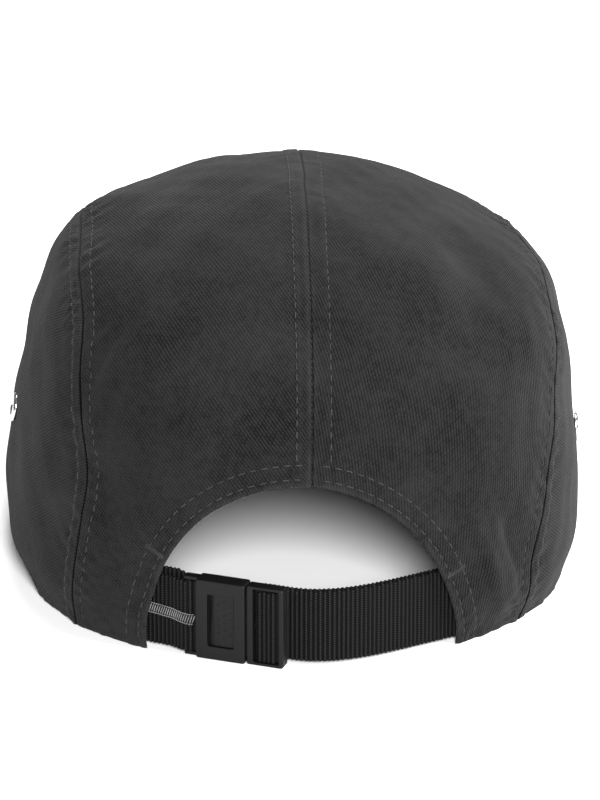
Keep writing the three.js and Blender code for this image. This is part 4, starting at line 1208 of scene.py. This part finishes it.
def weave_band(line, webbing, lift=None):
    """A band of webbing on edge along a line in plan, with ribs across it."""
    pitch, tall = webbing.rib_pitch / MM, webbing.rib_height / MM
    line, reach = even(line, pitch / 8)
    lift = np.zeros(len(line)) if lift is None else np.interp(reach, *lift)
    rib = np.cos(2 * np.pi * reach / pitch)
    middle = np.linspace(SELVEDGE_CLEAR, WEB_WIDTH - SELVEDGE_CLEAR, 9)
    rows = [*SELVEDGE, *((z, 1) for z in middle),
            *((WEB_WIDTH - z, thick) for z, thick in reversed(SELVEDGE))]
    half = WEB_THICKNESS / 2 - 0.04
    loops = []
    for z, thick in rows:
        edge = np.interp(min(z, WEB_WIDTH - z), (0, 1.5), (1, 0))
        scallop = SCALLOP * (1 - rib) * (-1 if z > WEB_WIDTH / 2 else 1) * edge
        wander = 0.08 * np.sin(z * 2.1 + reach / 7)
        swell = half * thick + tall * (rib + 0.2 * wander) * thick - 0.05
        sides = [np.column_stack((shifted(line, sign * swell), WEB_FOOT + z + lift + scallop))
                 for sign in (1, -1)]
        loops.append(np.concatenate((sides[0], sides[1][::-1])))
    grid = np.stack(loops)
    count, around = grid.shape[:2]
    faces = tube_faces(count, around, closed=False)
    j = np.arange(around // 2 - 1)
    top = (count - 1) * around
    faces.extend(zip(j, around - 1 - j, around - 2 - j, j + 1))
    faces.extend(zip(top + j, top + j + 1, top + around - 2 - j, top + around - 1 - j))
    lengths, heights = np.concatenate((reach, reach[::-1])), np.array([z for z, _ in rows])
    uvs = np.stack(np.meshgrid(lengths, heights), axis=-1) * MM
    return grid.reshape(-1, 3), faces, uvs.reshape(-1, 2)


# The zigzag: samples of the loop's turn that it runs on to, its bars, its start and end back from
# there, the heights of its ends, half the height of a bar, its slant, its thread and its lift
LOOP_SHOWN = 7
TACK_BARS = 23
TACK_RUN = (17.2, 0.4)
TACK_HEIGHTS = (14.0, 12.5)
TACK_REACH = 1.35
TACK_SLANT = 0.32
TACK_RADIUS = 0.17
TACK_LIFT = 0.12

# Length in which the short strap's back layer rises behind its loop
LIFT_RUN = 4.5


class CAP_OT_strap(bpy.types.Operator):
    """Weave the two straps, with the pale zigzag that closes the short one"""

    bl_idname = "cap.strap"
    bl_label = "Strap"

    def execute(self, context):
        webbing, colours = context.scene.cap_webbing, context.scene.cap_colours
        line, front_end, back_start = short_strap()
        reach = length_along(line)
        loop_end, rise = reach[back_start - 1], webbing.layer_lift / MM
        lift = ((0, loop_end, loop_end + LIFT_RUN, reach[-1]), (0, 0, rise, rise))
        material = webbing_material(colours, webbing)
        for name, node, band in (
                ("webbing_long", "strap_right", weave_band(long_strap(), webbing)),
                ("webbing_short", "strap_left", weave_band(line, webbing, lift))):
            points, faces, uvs = band
            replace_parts(new_piece(name, points, faces, material, "webbing", uvs), node)
        self.bartack(shifted(line[:front_end + LOOP_SHOWN], WEB_THICKNESS / 2), colours)
        return {"FINISHED"}

    def bartack(self, front, colours):
        """The zigzag on the face of the short strap, from the cloth to the loop."""
        line, reach = even(front, 0.1)
        at = np.linspace(*(reach[-1] - end for end in TACK_RUN), TACK_BARS)
        plan = np.stack([np.interp(at, reach, line[:, k]) for k in range(2)], axis=1)
        centre = np.column_stack((plan, np.linspace(*TACK_HEIGHTS, TACK_BARS)))
        normals = unit(np.gradient(plan, axis=0))
        normals = np.column_stack((normals[:, 1], -normals[:, 0], np.zeros(TACK_BARS)))
        way = unit(np.gradient(centre, axis=0))
        up = np.cross(normals, way)
        up = up * np.sign(up[:, 2:])
        run = np.linspace(-1, 1, 9)[None, :, None]
        bars = centre[:, None] + up[:, None] * TACK_REACH * run + way[:, None] * TACK_SLANT * run
        bars = bars + normals[:, None] * (TACK_LIFT + 0.22 * (1 - run**6))
        parts = [thread_mesh(bars, np.broadcast_to(normals[:, None], bars.shape), TACK_RADIUS)]
        share = np.linspace(0.05, 0.95, 6)[None, :, None]
        bow = np.sin(np.pi * share)
        for sign in (-1, 1):
            start = centre + up * sign * (TACK_REACH + 0.1) + normals * TACK_LIFT
            loops = mix(start[:-1, None], start[1:, None], share)
            loops = loops + (up[:-1, None] * sign * 0.25 + normals[:-1, None] * 0.1) * bow
            ups = np.broadcast_to(normals[:-1, None], loops.shape)
            parts.append(thread_mesh(loops, ups, 0.85 * TACK_RADIUS))
        points, faces = merged(parts)
        material = thread_material("bartack thread", colours.bartack)
        new_piece("bartack_strap", points, faces, material, "webbing")


# Buckle

BUCKLE_HEIGHT = WEB_WIDTH + 2 * (WEB_CLEARANCE + BUCKLE_EDGE)

# Grip dots on the button: radius, columns, rows, first column, steps and shift of the columns
DOT_RADIUS = 0.5
DOT_COLUMNS = 3
DOT_ROWS = 6
DOT_START = 0.95
DOT_STEPS = (2.05, 2.45)
DOT_STAGGER = 0.6
DOT_SIDES = 14
DOT_RINGS = 5

# Bevel of the moulded edges, and the sharpest turn that it leaves alone
MOULD_EDGE = 0.14
MOULD_ANGLE = 38


def dot_mesh(centre, out, along):
    """A low dome with its foot sunk in the button."""
    turn = np.linspace(0, 2 * np.pi, DOT_SIDES, endpoint=False)[:, None]
    spoke = np.cos(turn) * along + np.sin(turn) * np.array((0, 0, 1.0))
    angle = np.pi / 2 * np.arange(DOT_RINGS)[:, None, None] / (DOT_RINGS - 0.6)
    height = 0.9 * DOT_RADIUS * np.sin(angle) - 0.05
    points = centre + DOT_RADIUS * np.cos(angle) * spoke + height * out
    return points.reshape(-1, 3), tube_faces(DOT_RINGS, DOT_SIDES)


class CAP_OT_buckle(bpy.types.Operator):
    """Finish the moulded buckle and set the grip dots on its button"""

    bl_idname = "cap.buckle"
    bl_label = "Buckle"

    def execute(self, context):
        material = plastic_material(context.scene.cap_colours)
        for name in ("buckle_socket", "buckle_tongue"):
            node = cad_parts[name]
            node.data.materials.clear()
            node.data.materials.append(material)
            weld = node.modifiers.new("Weld", "WELD")
            weld.merge_threshold = 0.01 * MM
            soften = node.modifiers.new("Soften", "BEVEL")
            soften.width = MOULD_EDGE * MM
            soften.segments = 2
            soften.limit_method = "ANGLE"
            soften.angle_limit = math.radians(MOULD_ANGLE)
            soften.harden_normals = False
        along, out = (np.array((*way, 0)) for way in (BUCKLE_ALONG, BUCKLE_OUT))
        start = -WINDOW_MARGIN - WINDOW_LENGTH + BUTTON_RAMP
        parts = []
        for column in range(DOT_COLUMNS):
            plan = buckle_plan(
                start + DOT_START + DOT_STEPS[0] * column, SOCKET_THICKNESS / 2 - BUTTON_STEP)
            for row in range(DOT_ROWS):
                place = BUCKLE_HEIGHT / 2 + DOT_STEPS[1] * (row - (DOT_ROWS - 1) / 2)
                place += DOT_STAGGER if column == 1 else -DOT_STAGGER
                parts.append(dot_mesh(np.array((*plan, place)), out, along))
        new_piece("grip_dots", *merged(parts), material, "buckle_plastic")
        return {"FINISHED"}


# Materials

# Painted shade: the colour that darkens the cloth in the depth of a seam
SEAM_SHADE_COLOUR = (0.0006,) * 3


class Graph:
    """A node tree with short words for the nodes that this file uses."""

    def __init__(self, tree):
        self.tree = tree

    def add(self, kind, **values):
        node = self.tree.nodes.new(kind)
        for key, value in values.items():
            setattr(node, key, value)
        return node

    def wire(self, source, target):
        if isinstance(source, bpy.types.NodeSocket):
            self.tree.links.new(source, target)
        else:
            target.default_value = source

    def math(self, operation, a, b=0.0, c=0.0):
        node = self.add("ShaderNodeMath", operation=operation)
        for socket, value in zip(node.inputs, (a, b, c)):
            self.wire(value, socket)
        return node.outputs[0]

    def blend(self, share, a, b):
        node = self.add("ShaderNodeMix", data_type="RGBA")
        for name, value in (("Factor_Float", share), ("A_Color", a), ("B_Color", b)):
            socket = next(each for each in node.inputs if each.identifier == name)
            if not isinstance(value, bpy.types.NodeSocket) and name != "Factor_Float":
                value = (*value[:3], 1)
            self.wire(value, socket)
        return next(each for each in node.outputs if each.identifier == "Result_Color")

    def noise(self, vector, scale, detail=2.0, roughness=0.5):
        node = self.add("ShaderNodeTexNoise")
        self.wire(vector, node.inputs["Vector"])
        for name, value in (("Scale", scale), ("Detail", detail), ("Roughness", roughness)):
            self.wire(value, node.inputs[name])
        return node.outputs["Fac"]

    def ramp(self, value, low, high, to_low=0.0, to_high=1.0):
        node = self.add("ShaderNodeMapRange", interpolation_type="SMOOTHSTEP")
        for socket, each in zip(node.inputs, (value, low, high, to_low, to_high)):
            self.wire(each, socket)
        return node.outputs[0]

    def swing(self, turns):
        """A wave from 0 to 1 that peaks at every whole turn."""
        wave = self.math("COSINE", self.math("MULTIPLY", turns, 2 * math.pi))
        return self.math("MULTIPLY_ADD", wave, 0.5, 0.5)

    def mottle(self, scale, detail, roughness, low, high):
        """The Mottle group's mask and height, with its own values."""
        return self.group(mottle_group(), scale=scale, detail=detail, roughness=roughness,
                          low=low, high=high)

    def group(self, tree, **values):
        node = self.add("ShaderNodeGroup", node_tree=tree)
        for name, value in values.items():
            self.wire(value, node.inputs[name.replace("_", " ").title()])
        return node.outputs


def effect(name, inputs, outputs):
    """A new node group with its inputs and outputs, and its graph."""
    tree = bpy.data.node_groups.new(name, "ShaderNodeTree")
    for in_out, labels in (("INPUT", inputs), ("OUTPUT", outputs)):
        for label in labels:
            tree.interface.new_socket(label, in_out=in_out, socket_type="NodeSocketFloat")
    graph = Graph(tree)
    return tree, graph, graph.add("NodeGroupInput").outputs, graph.add("NodeGroupOutput").inputs


def weave_group():
    """Ribs of a weave, with beads of yarn along them that step on from rib to rib."""
    if "Beaded Weave" in bpy.data.node_groups:
        return bpy.data.node_groups["Beaded Weave"]
    tree, graph, given, result = effect(
        "Beaded Weave", ("Across", "Along", "Pitch", "Yarn Length", "Shift", "Fibre Scale"),
        ("Rib", "Bead", "Fibre"))
    row = graph.math("DIVIDE", given["Across"], given["Pitch"])
    step = graph.math("DIVIDE", given["Along"], given["Yarn Length"])
    shift = graph.math("MULTIPLY", graph.math("ROUND", row), given["Shift"])
    graph.wire(graph.swing(row), result["Rib"])
    graph.wire(graph.swing(graph.math("ADD", step, shift)), result["Bead"])
    flat = graph.add("ShaderNodeTexCoord").outputs["UV"]
    graph.wire(graph.noise(flat, given["Fibre Scale"], 2.0, 0.6), result["Fibre"])
    return tree


def mottle_group():
    """Patches of an uneven finish, from the fine grain of a thread to the clouds of washing."""
    if "Mottle" in bpy.data.node_groups:
        return bpy.data.node_groups["Mottle"]
    tree, graph, given, result = effect(
        "Mottle", ("Scale", "Detail", "Roughness", "Low", "High"), ("Mask", "Height"))
    place = graph.add("ShaderNodeTexCoord").outputs["Object"]
    patches = graph.noise(place, given["Scale"], given["Detail"], given["Roughness"])
    graph.wire(graph.ramp(patches, given["Low"], given["High"]), result["Mask"])
    graph.wire(patches, result["Height"])
    return tree


def finish_of(name):
    """A new material with its graph and the inputs of its shader."""
    material = bpy.data.materials.new(name)
    material.use_nodes = True
    shader = material.node_tree.nodes["Principled BSDF"]
    return material, Graph(material.node_tree), shader.inputs


def bump(graph, shader, height, distance, strength=1.0):
    node = graph.add("ShaderNodeBump")
    node.inputs["Strength"].default_value = strength
    node.inputs["Distance"].default_value = distance
    graph.wire(height, node.inputs["Height"])
    graph.wire(node.outputs["Normal"], shader["Normal"])


def twill_material(colours):
    """Charcoal twill with broken ribs, pale wear, painted shade in the seam creases and between the
    ribs, and the clouds of washing.
    """
    if "charcoal twill" in bpy.data.materials:
        return bpy.data.materials["charcoal twill"]
    material, graph, shader = finish_of("charcoal twill")
    flat = graph.add("ShaderNodeTexCoord").outputs["UV"]
    split = graph.add("ShaderNodeSeparateXYZ")
    graph.wire(flat, split.inputs[0])
    wander = graph.math("SUBTRACT", graph.noise(flat, 90.0, 2.0), 0.5)
    across = graph.math("ADD", split.outputs["Y"], graph.math("MULTIPLY", wander, 0.8 * MM))
    weave = graph.group(
        weave_group(), across=across, along=split.outputs["X"], pitch=0.95 * MM,
        yarn_length=1.5 * MM, shift=0.37, fibre_scale=2600.0)
    bead = graph.math("MULTIPLY_ADD", graph.math("POWER", weave["Bead"], 0.6), 0.5, 0.5)
    height = graph.math("MULTIPLY", graph.math("POWER", weave["Rib"], 0.8), bead)
    height = graph.math("ADD", height, graph.math("MULTIPLY", weave["Fibre"], 0.7))
    slub = graph.ramp(graph.noise(flat, 420.0, 2.0, 0.6), 0.3, 0.7, 0.65, 1.15)
    # Painted shade: the cloth darkens where its ribs and beads are low; the fibre and slub noise add
    # random tone
    tone_and_groove_shade = graph.ramp(graph.math("MULTIPLY", height, slub), 0.15, 1.15)
    cloth = graph.blend(tone_and_groove_shade, tuple(colours.twill_groove_shade), tuple(colours.twill))
    # The attribute is wear above zero and painted seam shade below zero
    wear_and_seam_shade = graph.add("ShaderNodeAttribute", attribute_name="wear_and_seam_shade").outputs["Fac"]
    patch = graph.mottle(260.0, 3.0, 0.6, 0.3, 0.65)["Mask"]
    patch = graph.math("MULTIPLY_ADD", patch, 0.75, 0.25)
    pale = graph.math("MULTIPLY", graph.math("MULTIPLY", wear_and_seam_shade, patch), 0.75)
    cloud = graph.math("MULTIPLY", graph.mottle(38.0, 4.0, 0.6, 0.3, 0.72)["Mask"], 0.3)
    cloth = graph.blend(graph.math("ADD", pale, cloud), cloth, tuple(colours.washed))
    # Painted shade: below zero the attribute darkens the cloth towards the seam shade colour
    graph.wire(graph.blend(graph.ramp(wear_and_seam_shade, -0.8, 0), SEAM_SHADE_COLOUR, cloth), shader["Base Color"])
    shader["Roughness"].default_value = 0.92
    shader["Specular IOR Level"].default_value = 0.06
    shader["Sheen Weight"].default_value = 0.04
    shader["Sheen Roughness"].default_value = 0.5
    bump(graph, shader, height, 0.16 * MM, 0.9)
    return material


def thread_material(name, shade):
    """Twisted sewing thread that fades in places."""
    if name in bpy.data.materials:
        return bpy.data.materials[name]
    material, graph, shader = finish_of(name)
    twist = graph.mottle(3200.0, 2.0, 0.5, 0.3, 0.7)
    fade = graph.mottle(180.0, 2.0, 0.5, 0.38, 0.58)["Mask"]
    share = graph.math("MULTIPLY", graph.math("MULTIPLY_ADD", twist["Mask"], 0.6, 0.4),
                       graph.math("MULTIPLY_ADD", fade, 0.5, 0.5))
    dark = tuple(0.35 * channel for channel in shade)
    graph.wire(graph.blend(share, dark, tuple(shade)), shader["Base Color"])
    shader["Roughness"].default_value = 0.8
    shader["Specular IOR Level"].default_value = 0.15
    shader["Sheen Weight"].default_value = 0.05
    bump(graph, shader, twist["Height"], 0.05 * MM)
    return material


def webbing_material(colours, webbing):
    """Black webbing, with painted highlights that show as dots on the tops of its ribs."""
    material, graph, shader = finish_of("black webbing")
    split = graph.add("ShaderNodeSeparateXYZ")
    graph.wire(graph.add("ShaderNodeTexCoord").outputs["UV"], split.inputs[0])
    weave = graph.group(
        weave_group(), across=split.outputs["X"], along=split.outputs["Y"],
        pitch=webbing.rib_pitch, yarn_length=0.78 * MM, shift=0.5, fibre_scale=2400.0)
    bead = graph.math("MULTIPLY_ADD", weave["Bead"], 0.7, 0.3)
    height = graph.math("MULTIPLY", bead, graph.math("POWER", weave["Rib"], 0.7))
    height = graph.math("ADD", height, graph.math("MULTIPLY", weave["Fibre"], 0.3))
    # Painted highlight: the webbing pales on the highest beads of its ribs, with some random fibre tone
    yarn = graph.blend(
        graph.ramp(height, 0.45, 1.1), tuple(colours.webbing), tuple(colours.webbing_highlight))
    graph.wire(yarn, shader["Base Color"])
    shader["Roughness"].default_value = 0.7
    shader["Specular IOR Level"].default_value = 0.08
    bump(graph, shader, height, 0.2 * MM)
    return material


def plastic_material(colours):
    """Moulded plastic with a fine spark-eroded grain."""
    material, graph, shader = finish_of("moulded plastic")
    haze = graph.mottle(300.0, 3.0, 0.6, 0.3, 0.7)["Mask"]
    dark = tuple(0.8 * channel for channel in colours.plastic)
    graph.wire(graph.blend(haze, dark, tuple(colours.plastic)), shader["Base Color"])
    graph.wire(graph.math("MULTIPLY_ADD", haze, 0.1, 0.5), shader["Roughness"])
    shader["Specular IOR Level"].default_value = 0.2
    grain = graph.mottle(2800.0, 2.0, 0.6, 0.0, 1.0)
    bump(graph, shader, grain["Height"], 0.03 * MM, 0.7)
    return material


def nickel_material(colours):
    """Bright nickel plate with faint handling marks."""
    material, graph, shader = finish_of("nickel plate")
    marks = graph.mottle(700.0, 4.0, 0.65, 0.4, 0.75)
    dull = tuple(0.8 * channel for channel in colours.nickel)
    graph.wire(graph.blend(marks["Mask"], tuple(colours.nickel), dull), shader["Base Color"])
    graph.wire(graph.ramp(marks["Height"], 0.35, 0.7, 0.16, 0.3), shader["Roughness"])
    shader["Metallic"].default_value = 1.0
    bump(graph, shader, marks["Height"], 0.02 * MM, 0.5)
    return material


def floor_material(colours):
    """Matt pale floor with the faintest mottle."""
    material, graph, shader = finish_of("pale floor")
    mottle = graph.mottle(30.0, 3.0, 0.5, 0.0, 1.0)["Height"]
    pale = tuple(min(1.01 * channel, 1) for channel in colours.floor)
    graph.wire(graph.blend(mottle, tuple(colours.floor), pale), shader["Base Color"])
    shader["Roughness"].default_value = 0.9
    shader["Specular IOR Level"].default_value = 0.1
    return material


# Stage

CAMERA_AZIMUTH = -2
CAMERA_ELEVATION = 22
CAMERA_DISTANCE = 1500
CAMERA_TARGET = (0, 0, 42)
CAMERA_AIM = (2.8, 6.4)
FOCAL_PIXELS = 4560
PHOTO_HEIGHT = 800
SENSOR = 36
FLOOR_REACH = 8
LIGHT_TARGET = 0.05
CLIP = (0.05, 50)

# Lights: azimuth round the cap from behind it, elevation, distance, size, power
LIGHTS = {
    "key": (70, 34, 1.6, 0.8, 35),
    "front": (2, 27, 1.7, 0.45, 56),
    "top": (158, 62, 1.6, 1.2, 37),
    "edge": (-120, 35, 1.8, 0.9, 0.6),
}
WORLD_LIGHT = 0.14


def direction(azimuth, elevation):
    """The way from the cap to a viewer who stands behind it and turns by azimuth."""
    a, e = math.radians(azimuth), math.radians(elevation)
    return Vector((math.sin(a) * math.cos(e), -math.cos(a) * math.cos(e), math.sin(e)))


class CAP_OT_stage(bpy.types.Operator):
    """Lay the pale floor, hang the soft lights and set the camera"""

    bl_idname = "cap.stage"
    bl_label = "Stage"

    def execute(self, context):
        scene = context.scene
        scene.view_settings.view_transform = "Standard"
        self.floor(scene)
        self.lights(scene)
        self.camera(scene)
        return {"FINISHED"}

    def floor(self, scene):
        mesh = bpy.data.meshes.new("floor")
        corners = [(x * FLOOR_REACH, y * FLOOR_REACH, 0)
                   for x, y in ((-1, -1), (1, -1), (1, 1), (-1, 1))]
        mesh.from_pydata(corners, [], [(0, 1, 2, 3)])
        mesh.materials.append(floor_material(scene.cap_colours))
        floor = bpy.data.objects.new("floor", mesh)
        scene.collection.objects.link(floor)

    def lights(self, scene):
        world = scene.world or bpy.data.worlds.new("studio")
        scene.world = world
        world.use_nodes = True
        background = world.node_tree.nodes["Background"]
        background.inputs["Color"].default_value = (1, 1, 1, 1)
        background.inputs["Strength"].default_value = WORLD_LIGHT
        target = Vector((*(ORIGIN[:2] * MM), LIGHT_TARGET))
        for name, (azimuth, elevation, distance, size, power) in LIGHTS.items():
            light = bpy.data.lights.new(name, "AREA")
            light.shape = "DISK"
            light.size = size
            light.energy = power
            lamp = bpy.data.objects.new(name, light)
            way = direction(azimuth, elevation)
            lamp.location = target + way * distance
            lamp.rotation_euler = way.to_track_quat("Z", "Y").to_euler()
            scene.collection.objects.link(lamp)

    def camera(self, scene):
        way = direction(CAMERA_AZIMUTH, CAMERA_ELEVATION)
        right = Vector((0, 0, 1)).cross(way).normalized()
        up = way.cross(right)
        target = Vector(placed(np.array(CAMERA_TARGET, float)))
        place = target + way * CAMERA_DISTANCE * MM
        aim = target + (right * CAMERA_AIM[0] + up * CAMERA_AIM[1]) * MM
        data = bpy.data.cameras.new("camera")
        data.sensor_fit = "VERTICAL"
        data.sensor_height = SENSOR
        data.lens = FOCAL_PIXELS / PHOTO_HEIGHT * SENSOR
        data.clip_start, data.clip_end = CLIP
        camera = bpy.data.objects.new("camera", data)
        camera.location = place
        camera.rotation_euler = (place - aim).to_track_quat("Z", "Y").to_euler()
        scene.collection.objects.link(camera)
        scene.camera = camera


OPERATORS = (
    CAP_OT_crown, CAP_OT_peak, CAP_OT_stitches, CAP_OT_eyelets, CAP_OT_strap, CAP_OT_buckle,
    CAP_OT_stage,
)


class CAP_PT_panel(bpy.types.Panel):
    """The cap's pieces, in the order in which they are made"""

    bl_idname = "CAP_PT_panel"
    bl_label = "Jockey Cap"
    bl_space_type = "VIEW_3D"
    bl_region_type = "UI"
    bl_category = "Cap"

    def draw(self, context):
        layout = self.layout
        for operator in OPERATORS:
            layout.operator(operator.bl_idname)
        for group in (context.scene.cap_sewing, context.scene.cap_webbing, context.scene.cap_colours):
            box = layout.box()
            for name in group.__annotations__:
                box.prop(group, name)


GROUPS = {"cap_sewing": CapSewing, "cap_webbing": CapWebbing, "cap_colours": CapColours}


def register():
    for each in (*GROUPS.values(), *OPERATORS, CAP_PT_panel):
        bpy.utils.register_class(each)
    for name, group in GROUPS.items():
        setattr(bpy.types.Scene, name, bpy.props.PointerProperty(type=group))


def unregister():
    for name in GROUPS:
        delattr(bpy.types.Scene, name)
    for each in reversed((*GROUPS.values(), *OPERATORS, CAP_PT_panel)):
        bpy.utils.unregister_class(each)


def main():
    """Makes the cap and its stage."""
    register()
    for operator in OPERATORS:
        _, name = operator.bl_idname.split(".")
        getattr(bpy.ops.cap, name)()


if __name__ == "__main__":
    main()
